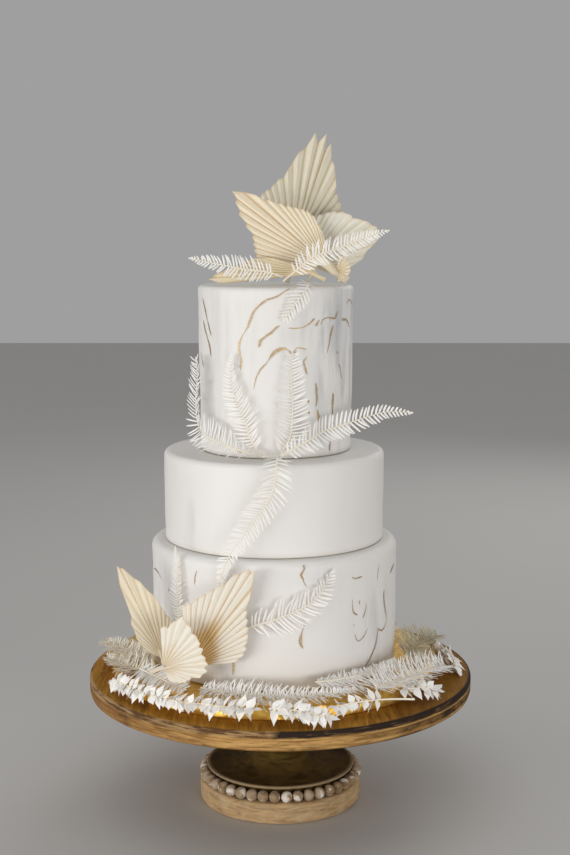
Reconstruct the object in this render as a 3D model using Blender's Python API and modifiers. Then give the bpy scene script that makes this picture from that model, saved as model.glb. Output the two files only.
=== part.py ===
# Three tier wedding cake with dried palm leaves and fern fronds on a turned wooden stand

import math
import random

import bmesh
import bpy
from mathutils import Matrix, Vector

MM = 0.001
GAP = 0.3

# Centre of the lower two tiers and of the top tier beside the axis of the stand
CAKE_X = -6.3
TOP_X = -4.6

# Heights of the stacked pieces above the floor
BASE_TOP = 21.5
BEAD_CENTRE = 28.0
FOOT_TOP = 46.2
PLATE_UNDER = 120.0
PLATE_TOP = 140.0
BOARD_TOP = 153.9
BOTTOM_TOP = 282.0
MIDDLE_TOP = 374.0
TOP_TOP = 542.0

# Radii of the stand, the board and the tiers
BASE_RADIUS = 85.0
BEAD_RING = 80.0
BEAD_RADIUS = 6.1
BEAD_COUNT = 42
PLATE_RADIUS = 199.8
BOARD_RADIUS = 170.0
BOTTOM_RADIUS = 127.4
MIDDLE_RADIUS = 114.0
TOP_RADIUS = 79.5

LEAF_THICKNESS = 0.9
RIB_THICKNESS = 1.7

COLOURS = {
    "fondant": (0.80, 0.78, 0.74),
    "gold": (0.45, 0.30, 0.07),
    "wood": (0.32, 0.18, 0.08),
    "dark wood": (0.06, 0.04, 0.025),
    "grey wood": (0.28, 0.20, 0.13),
    "palm": (0.80, 0.70, 0.50),
    "fern": (0.85, 0.83, 0.79),
    "sprig": (0.84, 0.80, 0.74),
}

parts = None
cutters = None


def clear_scene():
    for obj in list(bpy.data.objects):
        bpy.data.objects.remove(obj, do_unlink=True)


def new_collection(name):
    collection = bpy.data.collections.new(name)
    bpy.context.scene.collection.children.link(collection)
    return collection


def material(name, colour, roughness=0.6, metallic=0.0):
    mat = bpy.data.materials.new(name)
    mat.use_nodes = True
    shader = mat.node_tree.nodes["Principled BSDF"]
    shader.inputs["Base Color"].default_value = (*COLOURS[colour], 1.0)
    shader.inputs["Roughness"].default_value = roughness
    shader.inputs["Metallic"].default_value = metallic
    return mat


def make_object(name, bm, colour, collection=None, roughness=0.6, metallic=0.0):
    bmesh.ops.recalc_face_normals(bm, faces=bm.faces)
    mesh = bpy.data.meshes.new(name)
    bm.to_mesh(mesh)
    bm.free()
    obj = bpy.data.objects.new(name, mesh)
    obj.data.materials.append(material(name, colour, roughness, metallic))
    (collection or parts).objects.link(obj)
    return obj


def turned(name, profile, centre_x, segments, colour, roughness=0.6, metallic=0.0):
    """Turn a profile of (radius, height) points, listed from the top down the outer side."""
    bm = bmesh.new()
    verts = [bm.verts.new((r * MM, 0.0, z * MM)) for r, z in profile]
    for first, second in zip(verts, verts[1:]):
        bm.edges.new((first, second))
    mesh = bpy.data.meshes.new(name)
    bm.to_mesh(mesh)
    bm.free()
    obj = bpy.data.objects.new(name, mesh)
    obj.data.materials.append(material(name, colour, roughness, metallic))
    parts.objects.link(obj)
    obj.location.x = centre_x * MM
    screw = obj.modifiers.new("Turn", "SCREW")
    screw.axis = "Z"
    screw.angle = math.tau
    screw.steps = segments
    screw.render_steps = segments
    screw.use_merge_vertices = True
    screw.merge_threshold = 0.00005
    return obj


def rounded_rim(radius, top, edge, steps=3):
    """Points of a rounded upper edge, from the flat top out to the side."""
    points = []
    for step in range(steps + 1):
        turn = math.radians(90.0 * (1.0 - step / steps))
        points.append((radius - edge + edge * math.cos(turn), top - edge + edge * math.sin(turn)))
    return points


def tier(name, centre_x, radius, foot_radius, bottom, top, edge):
    profile = [(0.0, top), *rounded_rim(radius, top, edge), (foot_radius, bottom), (0.0, bottom)]
    return turned(name, profile, centre_x, 48, "fondant", 0.55)


def bead_ring():
    """A ring of round beads that run into one another, on the rim of the base."""
    sections = 3
    bpy.ops.mesh.primitive_torus_add(
        major_segments=BEAD_COUNT * sections,
        minor_segments=6,
        major_radius=BEAD_RING * MM,
        minor_radius=BEAD_RADIUS * MM,
        location=(0.0, 0.0, 0.0),
    )
    obj = bpy.context.object
    obj.name = "bead_ring"
    obj.data.name = "bead_ring"
    for vert in obj.data.vertices:
        angle = math.atan2(vert.co.y, vert.co.x)
        ring = Vector((math.cos(angle), math.sin(angle), 0.0)) * BEAD_RING * MM
        place = round(angle / math.tau * BEAD_COUNT * sections) % sections
        swell = 0.5 if place == 0 else 0.98
        vert.co = ring + (vert.co - ring) * swell
        vert.co.z += BEAD_CENTRE * MM
    for collection in list(obj.users_collection):
        collection.objects.unlink(obj)
    parts.objects.link(obj)
    obj.data.materials.append(material("bead_ring", "grey wood", 0.7))
    return obj


def around(angle, radius, height, up=0.0, centre_x=CAKE_X):
    """A point beside a tier and the way it faces: angle from the front, to the right."""
    turn = math.radians(angle)
    out = Vector((math.sin(turn), -math.cos(turn), 0.0))
    point = Vector((centre_x, 0.0, height)) + out * radius
    return point, (out * (1.0 - up) + Vector((0.0, 0.0, up))).normalized()


def lying(x, y, height, tilt=0.35):
    """A point on the board and the way a leaf lying there faces: up and a little outward."""
    out = Vector((x - CAKE_X, y, 0.0)).normalized()
    return Vector((x, y, height)), (out * tilt + Vector((0.0, 0.0, 1.0))).normalized()


def facing(x, y, height, up=0.2):
    """A point in the air with a leaf that faces the front."""
    return Vector((x, y, height)), Vector((0.0, -1.0, up)).normalized()


def blend(values, t):
    """Smooth curve through four neighbouring values."""
    a, b, c, d = values
    return 0.5 * (2.0 * b + (c - a) * t + (2.0 * a - 5.0 * b + 4.0 * c - d) * t * t
                  + (3.0 * b - a - 3.0 * c + d) * t * t * t)


class Spine:
    """A smooth line through points with facing directions, measured along its length."""

    def __init__(self, stations):
        padded = [stations[0], *stations, stations[-1]]
        self.points = []
        self.normals = []
        steps = 8
        for i in range(1, len(padded) - 2):
            around_here = padded[i - 1:i + 3]
            for step in range(steps):
                t = step / steps
                self.points.append(blend([station[0] for station in around_here], t))
                self.normals.append(padded[i][1].lerp(padded[i + 1][1], t).normalized())
        self.points.append(stations[-1][0].copy())
        self.normals.append(stations[-1][1].copy())
        self.lengths = [0.0]
        for first, second in zip(self.points, self.points[1:]):
            self.lengths.append(self.lengths[-1] + (second - first).length)
        self.total = self.lengths[-1]

    def frame(self, distance):
        distance = min(max(distance, 0.0), self.total)
        i = 0
        while i < len(self.lengths) - 2 and self.lengths[i + 1] < distance:
            i += 1
        span = self.lengths[i + 1] - self.lengths[i]
        t = (distance - self.lengths[i]) / span if span > 0.0 else 0.0
        point = self.points[i].lerp(self.points[i + 1], t)
        before = self.points[max(i - 2, 0)]
        after = self.points[min(i + 3, len(self.points) - 1)]
        along = (after - before).normalized()
        normal = self.normals[i].lerp(self.normals[i + 1], t)
        normal = (normal - along * normal.dot(along)).normalized()
        return point, along, normal, normal.cross(along)


def leaf_solid(name, spine, left, right, colour, lift, rib, thickness=LEAF_THICKNESS):
    """A thin leaf whose two margins are lists of points and which thickens along its rib.

    Each margin lists runs of (distance, width) points, one run for a stretch of the stem.
    """
    bm = bmesh.new()

    def pair(distance, width, thick):
        point, along, normal, side = spine.frame(distance)
        over = distance - min(max(distance, 0.0), spine.total)
        low = point + along * over + side * width + normal * (abs(width) * lift)
        return bm.verts.new(low * MM), bm.verts.new((low + normal * thick) * MM)

    stations = [run[0][0] for run in left] + [left[-1][-1][0]]
    rims = {}
    for sign in (1.0, -1.0):
        rims[sign] = [pair(station, sign * rib, RIB_THICKNESS) for station in stations]
    tip_distance = stations[-1] + rib * 4.0
    tip = pair(tip_distance, 0.0, thickness)

    def both(a, b, c):
        bm.faces.new((a[1], b[1], c[1]))
        bm.faces.new((c[0], b[0], a[0]))

    def edge(a, b):
        bm.faces.new((a[0], b[0], b[1]))
        bm.faces.new((a[0], b[1], a[1]))

    for sign, margin in ((1.0, left), (-1.0, right)):
        rim = rims[sign]
        for i, run in enumerate(margin):
            start, end = rim[i], rim[i + 1]
            outer = [pair(distance, sign * width, thickness) for distance, width in run[1:-1]]
            walk = [start, *outer, end]
            if len(outer) == 1:
                both(start, outer[0], end)
            if len(outer) == 3:
                both(start, outer[0], end)
                both(outer[0], outer[2], end)
                both(outer[0], outer[1], outer[2])
            for a, b in zip(walk, walk[1:]):
                edge(a, b)
    for i in range(len(stations) - 1):
        both(rims[1.0][i], rims[-1.0][i], rims[-1.0][i + 1])
        both(rims[1.0][i], rims[-1.0][i + 1], rims[1.0][i + 1])
    both(rims[1.0][-1], rims[-1.0][-1], tip)
    edge(rims[1.0][-1], tip)
    edge(tip, rims[-1.0][-1])
    edge(rims[1.0][0], rims[-1.0][0])
    bmesh.ops.triangulate(bm, faces=[face for face in bm.faces if len(face.verts) > 3])
    return make_object(name, bm, colour, roughness=0.8)


def fern(name, stations, width, pairs, bare=0.1, sweep=0.36, lift=0.18, rib=0.9):
    """A frond: narrow leaflets in pairs along a rib, shorter towards the tip."""
    chance = random.Random(name)
    spine = Spine(stations)
    start = spine.total * bare
    pitch = (spine.total - start - rib * 4.0) / pairs
    margins = []
    for side in range(2):
        margin = [[(0.0, rib), (start, rib)]] if bare > 0.0 else []
        for i in range(pairs):
            t = (i + 0.5) / pairs
            reach = width * min(1.0, 0.6 + 1.8 * t) * (1.0 - 0.72 * t * t)
            reach *= chance.uniform(0.92, 1.08)
            near = start + i * pitch
            tip = near + pitch * 0.5 + reach * sweep
            margin.append([(near, rib), (tip, reach), (near + pitch, rib)])
        margins.append(margin)
    return leaf_solid(name, spine, margins[0], margins[1], "fern", lift, rib)


def sprig(name, stations, length, width, count, lift=0.12, rib=0.9):
    """A stem with oval pointed leaves set on it in pairs."""
    chance = random.Random(name)
    spine = Spine(stations)
    pitch = (spine.total - rib * 4.0) / count
    margins = ([], [])
    for i in range(count):
        near = i * pitch
        far = near + pitch
        for margin in margins:
            slope = math.radians(chance.uniform(48.0, 66.0))
            reach = length * chance.uniform(0.88, 1.08)
            ahead, out = math.cos(slope), math.sin(slope)
            root = (near + far) * 0.5 - ahead * reach * 0.35
            belly = 0.5
            half = width * 0.5
            rear = (root + ahead * reach * belly - out * half, rib + out * reach * belly + ahead * half)
            fore = (root + ahead * reach * belly + out * half, rib + out * reach * belly - ahead * half)
            point = (root + ahead * reach, rib + out * reach)
            margin.append([(near, rib), rear, point, fore, (far, rib)])
    return leaf_solid(name, spine, margins[0], margins[1], "sprig", lift, rib)


def outline_length(outline, angle):
    for (a, first), (b, second) in zip(outline, outline[1:]):
        if a <= angle <= b:
            return first + (second - first) * (angle - a) / (b - a)
    return outline[-1][1]


def palm(name, hub, outline, pleats, stem_end, stem_radius, yaw=0.0, lean=0.0, notch=0.03, bend=0.0):
    """A pleated fan cut to a point, with its stem.

    The outline lists (angle, length) round the hub, from the left over the top to the right.
    """
    turn = math.radians(yaw)
    tip_back = math.radians(lean)
    across = Vector((math.cos(turn), math.sin(turn), 0.0))
    out = Vector((math.sin(turn), -math.cos(turn), 0.0))
    up = Vector((0.0, 0.0, 1.0)) * math.cos(tip_back) - out * math.sin(tip_back)
    normal = across.cross(up)
    hub = Vector(hub)
    rays = 2 * pleats
    inner = 6.0
    bm = bmesh.new()
    rows = []
    for i in range(rays + 1):
        angle = outline[0][0] + (outline[-1][0] - outline[0][0]) * i / rays
        ridge = i % 2 == 1
        length = outline_length(outline, angle) * (1.0 if ridge else 1.0 - notch)
        way = across * math.sin(math.radians(angle)) + up * math.cos(math.radians(angle))
        pitch = math.radians((outline[-1][0] - outline[0][0]) / rays)
        row = []
        for radius in (inner, length):
            height = radius * pitch * 0.42 * (1.0 if ridge else -1.0)
            height += bend * (radius / 100.0) ** 2
            low = hub + way * radius + normal * height
            row.append((bm.verts.new(low * MM), bm.verts.new((low + normal * LEAF_THICKNESS) * MM)))
        rows.append(row)
    for first, second in zip(rows, rows[1:]):
        for side, order in ((1, 1), (0, -1)):
            a, b, c, d = (first[0][side], second[0][side], second[1][side], first[1][side])
            bm.faces.new((a, b, c)[::order])
            bm.faces.new((a, c, d)[::order])
        for k in (0, 1):
            a, b = first[k], second[k]
            bm.faces.new((a[0], b[0], b[1]))
            bm.faces.new((a[0], b[1], a[1]))
    for row in (rows[0], rows[-1]):
        a, b = row
        bm.faces.new((a[0], b[0], b[1]))
        bm.faces.new((a[0], b[1], a[1]))
    fan = make_object(name, bm, "palm", roughness=0.75)

    middle = math.radians((outline[0][0] + outline[-1][0]) * 0.5)
    head = hub + (across * math.sin(middle) + up * math.cos(middle)) * 10.0
    head += normal * LEAF_THICKNESS * 0.5
    axis = head - Vector(stem_end)
    bm = bmesh.new()
    bmesh.ops.create_cone(
        bm,
        cap_ends=True,
        cap_tris=False,
        segments=8,
        radius1=stem_radius * MM,
        radius2=stem_radius * 0.8 * MM,
        depth=axis.length * MM,
        matrix=Matrix.Translation((head + Vector(stem_end)) * 0.5 * MM)
        @ axis.to_track_quat("Z", "Y").to_matrix().to_4x4(),
    )
    stem = make_object(name + "_stem", bm, "palm", cutters)
    stem.hide_render = True
    stem.display_type = "WIRE"
    join = fan.modifiers.new("Stem", "BOOLEAN")
    join.operation = "UNION"
    join.solver = "EXACT"
    join.object = stem
    return fan


def build_stand():
    turned("stand_base", [
        (0.0, BASE_TOP), (81.5, BASE_TOP), (84.2, 20.2), (BASE_RADIUS, 17.5),
        (BASE_RADIUS, 3.0), (83.8, 0.8), (81.5, 0.0), (0.0, 0.0),
    ], 0.0, 48, "grey wood", 0.7)
    bead_ring()
    turned("stand_foot", [
        (0.0, FOOT_TOP), (27.0, FOOT_TOP), (34.0, 42.0), (50.0, 38.4), (66.0, 37.0),
        (76.0, 37.7), (78.0, 36.2), (72.0, 34.6), (72.0, BASE_TOP + GAP),
        (0.0, BASE_TOP + GAP),
    ], 0.0, 40, "dark wood", 0.5)
    turned("stand_column", [
        (0.0, PLATE_UNDER - GAP), (30.0, PLATE_UNDER - GAP), (30.0, 116.0), (24.0, 112.0),
        (21.5, 92.0), (22.5, 68.0), (26.0, 53.0), (27.0, FOOT_TOP + GAP), (0.0, FOOT_TOP + GAP),
    ], 0.0, 28, "dark wood", 0.5)
    turned("stand_top", [
        (0.0, PLATE_TOP), (197.6, PLATE_TOP), (199.2, 139.0), (PLATE_RADIUS, 136.8),
        (PLATE_RADIUS, 129.0), (199.0, 122.4), (196.0, PLATE_UNDER), (0.0, PLATE_UNDER),
    ], 0.0, 60, "wood", 0.5)


def build_cake():
    turned("cake_board", [
        (0.0, BOARD_TOP), (169.2, BOARD_TOP), (BOARD_RADIUS, BOARD_TOP - 0.8),
        (BOARD_RADIUS, PLATE_TOP + GAP), (0.0, PLATE_TOP + GAP),
    ], CAKE_X, 56, "gold", 0.3, 1.0)
    tier("tier_bottom", CAKE_X, BOTTOM_RADIUS, 126.6, BOARD_TOP + GAP, BOTTOM_TOP, 8.0)
    tier("tier_middle", CAKE_X, MIDDLE_RADIUS, 113.0, BOTTOM_TOP + GAP, MIDDLE_TOP, 6.0)
    tier("tier_top", TOP_X, TOP_RADIUS, 77.4, MIDDLE_TOP + GAP, TOP_TOP, 5.0)


def build_palms():
    palm("palm_tall", (11.0, 12.0, 572.0), [
        (-29.0, 68.0), (-20.0, 70.0), (-12.7, 75.0), (-2.8, 84.0), (1.8, 98.0), (8.7, 118.0),
        (11.5, 129.0), (13.4, 124.0), (16.6, 130.0), (20.0, 120.0), (27.6, 97.0), (35.7, 80.0),
        (50.0, 68.0), (60.0, 60.0),
    ], 13, (7.0, 12.0, 543.4), 2.6, lean=2.0)
    palm("palm_left", (42.0, -22.0, 566.0), [
        (-109.0, 49.0), (-94.0, 58.0), (-83.4, 69.0), (-75.8, 72.0), (-67.4, 81.0), (-61.0, 95.0),
        (-52.4, 115.0), (-47.4, 106.0), (-45.4, 94.0), (-40.4, 79.0), (-34.4, 69.0), (-24.4, 58.0),
        (-12.7, 50.0), (-5.0, 36.0), (2.0, 27.0),
    ], 17, (67.0, -24.0, 547.0), 4.0, yaw=6.0, lean=4.0)
    palm("palm_right", (32.0, -6.0, 564.0), [
        (5.0, 48.0), (20.0, 55.0), (31.0, 60.0), (45.0, 64.0), (56.0, 72.0), (61.0, 76.0),
        (67.0, 76.0), (73.0, 71.0), (76.0, 59.0), (88.0, 50.0), (94.0, 42.0), (112.0, 33.0),
    ], 12, (27.0, -4.0, 543.8), 2.4, yaw=-6.0)
    palm("palm_small", (56.0, -33.0, 556.0), [
        (8.0, 15.0), (36.0, 17.0), (64.0, 15.0), (92.0, 14.0), (112.0, 12.0),
    ], 5, (58.0, -34.0, 546.0), 1.3)
    palm("palm_low", (40.0, -34.0, 554.5), [
        (-96.0, 104.0), (-93.0, 112.0), (-88.0, 96.0), (-84.0, 80.0), (-80.0, 76.0), (-72.0, 50.0),
    ], 6, (45.0, -35.0, 548.0), 2.2, yaw=1.5, lean=2.0)
    palm("palm_back", (-114.0, -92.0, 176.0), [
        (-62.0, 18.0), (-50.0, 32.0), (-46.0, 37.0), (-37.3, 52.0), (-32.0, 65.0), (-29.8, 77.0),
        (-28.2, 93.0), (-26.6, 105.0), (-20.1, 97.0), (-14.7, 83.0), (-9.5, 67.0), (-3.1, 56.0),
        (3.7, 46.0), (12.0, 38.0),
    ], 11, (-110.0, -98.0, 156.4), 2.6, yaw=12.0, lean=-4.0)
    palm("palm_mid", (-88.0, -122.0, 178.0), [
        (-6.0, 62.0), (4.8, 68.0), (16.8, 76.0), (23.9, 92.0), (27.8, 99.0), (31.1, 107.0),
        (34.4, 114.0), (36.7, 108.0), (39.2, 95.0), (42.6, 82.0), (52.5, 74.0), (63.0, 65.0),
        (75.3, 57.0), (81.0, 48.0), (90.0, 38.0),
    ], 14, (-92.0, -117.0, 156.4), 2.6, yaw=-12.0, lean=-3.0)
    palm("palm_front", (-112.0, -134.0, 181.0), [
        (-2.0, 48.0), (7.8, 49.5), (20.7, 54.0), (33.7, 48.5), (53.9, 44.0), (74.4, 43.0),
        (96.5, 42.0), (107.0, 33.0), (115.0, 31.0), (138.0, 23.0),
    ], 12, (-125.0, -133.0, 176.0), 2.4, yaw=-8.0, lean=-8.0)


def build_top_ferns():
    fern("fern_top_left", [
        facing(2.0, -42.0, 551.0), facing(-13.0, -44.0, 556.0), facing(-37.0, -46.0, 559.0),
        facing(-58.0, -46.0, 563.0), facing(-74.0, -44.0, 566.0), facing(-88.0, -42.0, 569.0),
    ], 12.0, 14)
    fern("fern_top_right", [
        facing(3.0, -52.0, 547.0), facing(19.0, -50.0, 560.0), facing(33.0, -48.0, 571.0),
        facing(54.0, -46.0, 578.0), facing(75.0, -42.0, 586.0), facing(95.0, -40.0, 593.0),
        facing(106.0, -38.0, 596.0),
    ], 13.0, 14, bare=0.14)
    fern("fern_rim", [
        around(32.0, 62.0, 543.6, 0.9, TOP_X), around(25.0, 76.0, 545.0, 0.7, TOP_X),
        around(21.0, 82.5, 540.0, 0.3, TOP_X), around(13.0, 82.5, 525.0, 0.0, TOP_X),
        around(6.0, 82.5, 511.0, 0.0, TOP_X),
    ], 7.0, 9, rib=0.8)


def build_ledge_ferns():
    fern("fern_side_left", [
        around(-3.0, 87.0, 378.0, 0.8), around(-14.0, 92.0, 381.0, 0.75),
        around(-27.0, 94.0, 387.0, 0.6), around(-38.0, 93.0, 392.0, 0.45),
        around(-48.0, 91.0, 397.0, 0.25), around(-56.0, 89.0, 402.0, 0.1), around(-59.5, 89.0, 413.0),
        around(-60.5, 89.0, 426.0), around(-59.5, 89.0, 440.0),
        around(-58.0, 89.0, 453.0), around(-60.0, 89.0, 470.0),
    ], 18.0, 17, bare=0.08)
    fern("fern_up_left", [
        around(-6.0, 82.0, 376.0), around(-12.0, 82.0, 386.0), around(-17.0, 82.0, 398.0),
        around(-20.0, 82.0, 413.0), around(-25.0, 82.0, 428.0), around(-30.0, 82.0, 447.0),
        around(-30.5, 82.5, 462.0), around(-29.5, 83.0, 476.0),
    ], 14.0, 13, bare=0.2)
    fern("fern_up_right", [
        around(4.0, 82.0, 376.0), around(8.0, 82.0, 387.0), around(12.0, 82.0, 400.0),
        around(13.0, 82.0, 426.0), around(12.5, 82.5, 450.0), around(12.0, 83.0, 464.0),
        around(12.5, 83.0, 479.0),
    ], 18.0, 14, bare=0.12)
    fern("fern_side_right", [
        around(3.0, 92.0, 377.5, 0.2), around(12.0, 92.0, 386.0), around(24.0, 92.0, 396.0),
        facing(45.0, -72.0, 402.0), facing(66.0, -66.0, 408.0), facing(85.0, -60.0, 413.5),
        facing(106.0, -54.0, 418.0), facing(130.0, -48.0, 416.5),
    ], 16.0, 16, bare=0.12)
    fern("fern_trailing", [
        around(2.0, 93.0, 375.6, 0.9), around(3.5, 103.0, 380.0, 0.9), around(2.0, 114.0, 381.0, 0.7),
        around(1.5, 121.0, 373.0, 0.2), around(1.0, 122.0, 360.0), around(-1.5, 122.0, 344.0),
        around(-8.0, 122.0, 324.0), around(-13.0, 126.0, 308.0), around(-17.0, 132.0, 294.0),
        around(-19.5, 135.0, 282.0), around(-21.5, 134.0, 268.0), around(-23.5, 132.0, 252.0),
    ], 16.0, 18, bare=0.2)


def build_lower_ferns():
    fern("fern_behind_palms", [
        around(-45.0, 131.0, 204.0), around(-45.3, 131.0, 221.0), around(-46.0, 131.0, 240.0),
        around(-45.6, 131.0, 270.0), around(-45.6, 134.0, 290.0),
    ], 8.0, 12)
    fern("fern_bottom_front", [
        around(-14.0, 131.0, 214.0), around(-8.0, 131.0, 221.0), around(3.0, 131.0, 229.0),
        around(14.0, 131.0, 240.0), around(21.0, 131.0, 253.0), around(26.0, 131.0, 272.0),
    ], 19.0, 13)
    fern("fern_board_left", [
        lying(-130.0, -62.0, 162.0), lying(-148.0, -36.0, 163.0), lying(-166.0, -6.0, 161.0),
        lying(-188.0, 28.0, 157.0),
    ], 15.0, 13, bare=0.12)
    fern("fern_board_low", [
        lying(-124.0, -84.0, 159.0), lying(-142.0, -72.0, 158.0), lying(-161.0, -50.0, 157.0),
        lying(-182.0, -12.0, 152.0),
    ], 12.0, 11)
    fern("fern_board_comb", [
        lying(-139.0, -91.0, 165.5), lying(-123.0, -107.0, 163.5), lying(-106.0, -125.0, 161.5),
        lying(-91.0, -139.0, 160.0),
    ], 13.0, 12)
    fern("fern_board_front", [
        lying(-76.0, -134.0, 160.0), lying(-60.0, -144.0, 160.0), lying(-36.0, -153.0, 160.0),
        lying(5.0, -160.0, 160.0), lying(48.0, -156.0, 161.5), lying(72.0, -145.0, 163.0),
    ], 15.0, 16)
    fern("fern_board_needles", [
        lying(34.0, -141.0, 168.0), lying(54.0, -134.0, 168.0), lying(80.0, -117.0, 168.0),
        lying(99.0, -92.0, 167.5), lying(115.0, -62.0, 167.0),
    ], 13.0, 14, sweep=0.7)
    fern("fern_board_right", [
        lying(91.0, -141.0, 161.5), lying(106.0, -126.0, 162.0), lying(128.0, -102.0, 161.0),
        lying(150.0, -78.0, 161.0), lying(168.0, -58.0, 158.0),
    ], 19.0, 12, bare=0.04)
    fern("fern_board_curved", [
        lying(131.0, -42.0, 161.0), lying(137.0, -18.0, 162.0), lying(147.0, 6.0, 162.0),
        lying(159.0, 26.0, 161.0), lying(171.0, 44.0, 158.0),
    ], 15.0, 12)
    fern("fern_back_right", [
        around(112.0, 146.0, 160.0, 0.75), around(126.0, 147.0, 160.0, 0.75),
        around(140.0, 148.0, 160.0, 0.75), around(152.0, 152.0, 160.0, 0.75),
    ], 13.0, 12)
    fern("fern_back_middle", [
        around(154.0, 144.0, 165.0, 0.75), around(170.0, 145.0, 165.0, 0.75),
        around(186.0, 147.0, 164.0, 0.75), around(200.0, 152.0, 162.0, 0.75),
    ], 13.0, 12)
    fern("fern_back_left", [
        around(201.0, 144.0, 167.0, 0.75), around(216.0, 145.0, 166.0, 0.75),
        around(232.0, 147.0, 165.0, 0.75), around(246.0, 152.0, 164.0, 0.75),
    ], 13.0, 12)


def build_sprigs():
    sprig("sprig_left", [
        lying(-167.0, -78.0, 151.0, 0.6), lying(-158.0, -95.0, 152.0, 0.5), lying(-145.0, -116.0, 154.0, 0.4),
        lying(-127.0, -138.0, 155.0, 0.2), lying(-104.0, -157.0, 155.5, 0.1), lying(-75.0, -170.0, 156.0, 0.1),
        lying(-46.0, -179.0, 156.0, 0.1), lying(-26.0, -184.0, 156.0, 0.1),
    ], 14.0, 9.0, 15)
    sprig("sprig_front", [
        lying(-10.0, -183.0, 156.0, 0.1), lying(8.0, -184.5, 155.5, 0.1), lying(24.0, -186.0, 154.0, 0.2),
        lying(44.0, -185.5, 150.0, 0.4),
    ], 14.0, 9.0, 5)
    sprig("sprig_right", [
        lying(128.0, -155.0, 155.5, 0.1), lying(109.0, -154.5, 155.5, 0.1), lying(88.0, -158.0, 155.5, 0.1),
        lying(68.0, -166.0, 155.5, 0.1), lying(53.0, -175.0, 155.5, 0.1),
    ], 14.0, 8.5, 7)
    sprig("sprig_right_end", [
        lying(126.0, -122.0, 154.0, 0.1), lying(137.0, -122.0, 154.0, 0.1), lying(148.0, -117.0, 151.0, 0.3),
        lying(160.0, -109.0, 147.0, 0.4),
    ], 13.0, 8.0, 4)
    sprig("sprig_far_right", [
        lying(164.0, 2.0, 155.5, 0.1), lying(170.0, -8.0, 155.5, 0.1), lying(176.0, -20.0, 154.0, 0.2),
        lying(181.0, -34.0, 150.0, 0.3),
    ], 12.0, 8.5, 4)
    sprig("sprig_back_right", [
        around(128.0, 172.0, 156.0, 0.9), around(140.0, 176.0, 156.0, 0.9),
        around(152.0, 174.0, 156.0, 0.9),
    ], 13.0, 9.0, 5)
    sprig("sprig_back_left", [
        around(200.0, 176.0, 156.0, 0.9), around(213.0, 178.0, 156.0, 0.9),
        around(226.0, 174.0, 156.0, 0.9),
    ], 13.0, 9.0, 6)


clear_scene()
parts = new_collection("tiered_wedding_cake")
cutters = new_collection("stems")
build_stand()
build_cake()
build_palms()
build_top_ferns()
build_ledge_ferns()
build_lower_ferns()
build_sprigs()
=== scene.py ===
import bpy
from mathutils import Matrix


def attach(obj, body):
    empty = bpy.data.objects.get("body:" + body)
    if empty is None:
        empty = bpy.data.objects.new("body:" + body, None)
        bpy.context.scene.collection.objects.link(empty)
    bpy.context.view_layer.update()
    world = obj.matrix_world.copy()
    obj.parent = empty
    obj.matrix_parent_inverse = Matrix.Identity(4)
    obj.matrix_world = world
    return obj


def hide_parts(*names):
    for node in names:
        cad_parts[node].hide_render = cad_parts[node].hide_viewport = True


bl_info = {
    "name": "Tiered Wedding Cake",
    "version": (1, 0, 0),
    "blender": (4, 5, 0),
    "location": "View3D > Sidebar > Cake",
    "description": "Builds the look of a marbled three tier cake with dried leaves on a wooden stand",
    "category": "Add Mesh",
}

import math
import random

import bmesh
import bpy
import numpy as np
from bpy.props import FloatProperty, FloatVectorProperty, PointerProperty
from mathutils import Vector, noise

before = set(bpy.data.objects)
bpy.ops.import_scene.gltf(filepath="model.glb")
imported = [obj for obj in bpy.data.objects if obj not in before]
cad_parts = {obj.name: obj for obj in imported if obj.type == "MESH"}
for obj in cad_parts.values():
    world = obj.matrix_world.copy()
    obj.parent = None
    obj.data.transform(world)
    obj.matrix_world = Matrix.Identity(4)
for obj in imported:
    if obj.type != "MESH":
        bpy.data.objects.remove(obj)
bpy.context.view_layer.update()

MM = 0.001

# Centre of the lower two tiers and of the top tier beside the axis of the stand, in millimetres
CAKE_X = -6.3
TOP_X = -4.6

# Heights of the stacked pieces above the floor
BASE_TOP = 21.5
BEAD_CENTRE = 27.8
FOOT_TOP = 46.2
PLATE_UNDER = 120
PLATE_TOP = 140
BOARD_TOP = 153.9
BOTTOM_TOP = 282
MIDDLE_TOP = 374
TOP_TOP = 542
GAP = 0.3

# Radii of the stand and the board
BASE_RADIUS = 85
BEAD_RING = 80
BEAD_RADIUS = 6
BEAD_COUNT = 42
PLATE_RADIUS = 199.8
BOARD_RADIUS = 170

# The tiers: radius under the rounded edge, radius at the foot, lower and upper height, rounding of the edge
BOTTOM_FORM = (127.4, 126.6, BOARD_TOP + GAP, BOTTOM_TOP, 8)
MIDDLE_FORM = (114, 113, BOTTOM_TOP + GAP, MIDDLE_TOP, 6)
TOP_FORM = (79.5, 77.4, MIDDLE_TOP + GAP, TOP_TOP, 5)


def look():
    return bpy.context.scene.cake_look


def tinted(colour, factors):
    return [channel * factor for channel, factor in zip(colour, factors)]


# Materials

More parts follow.
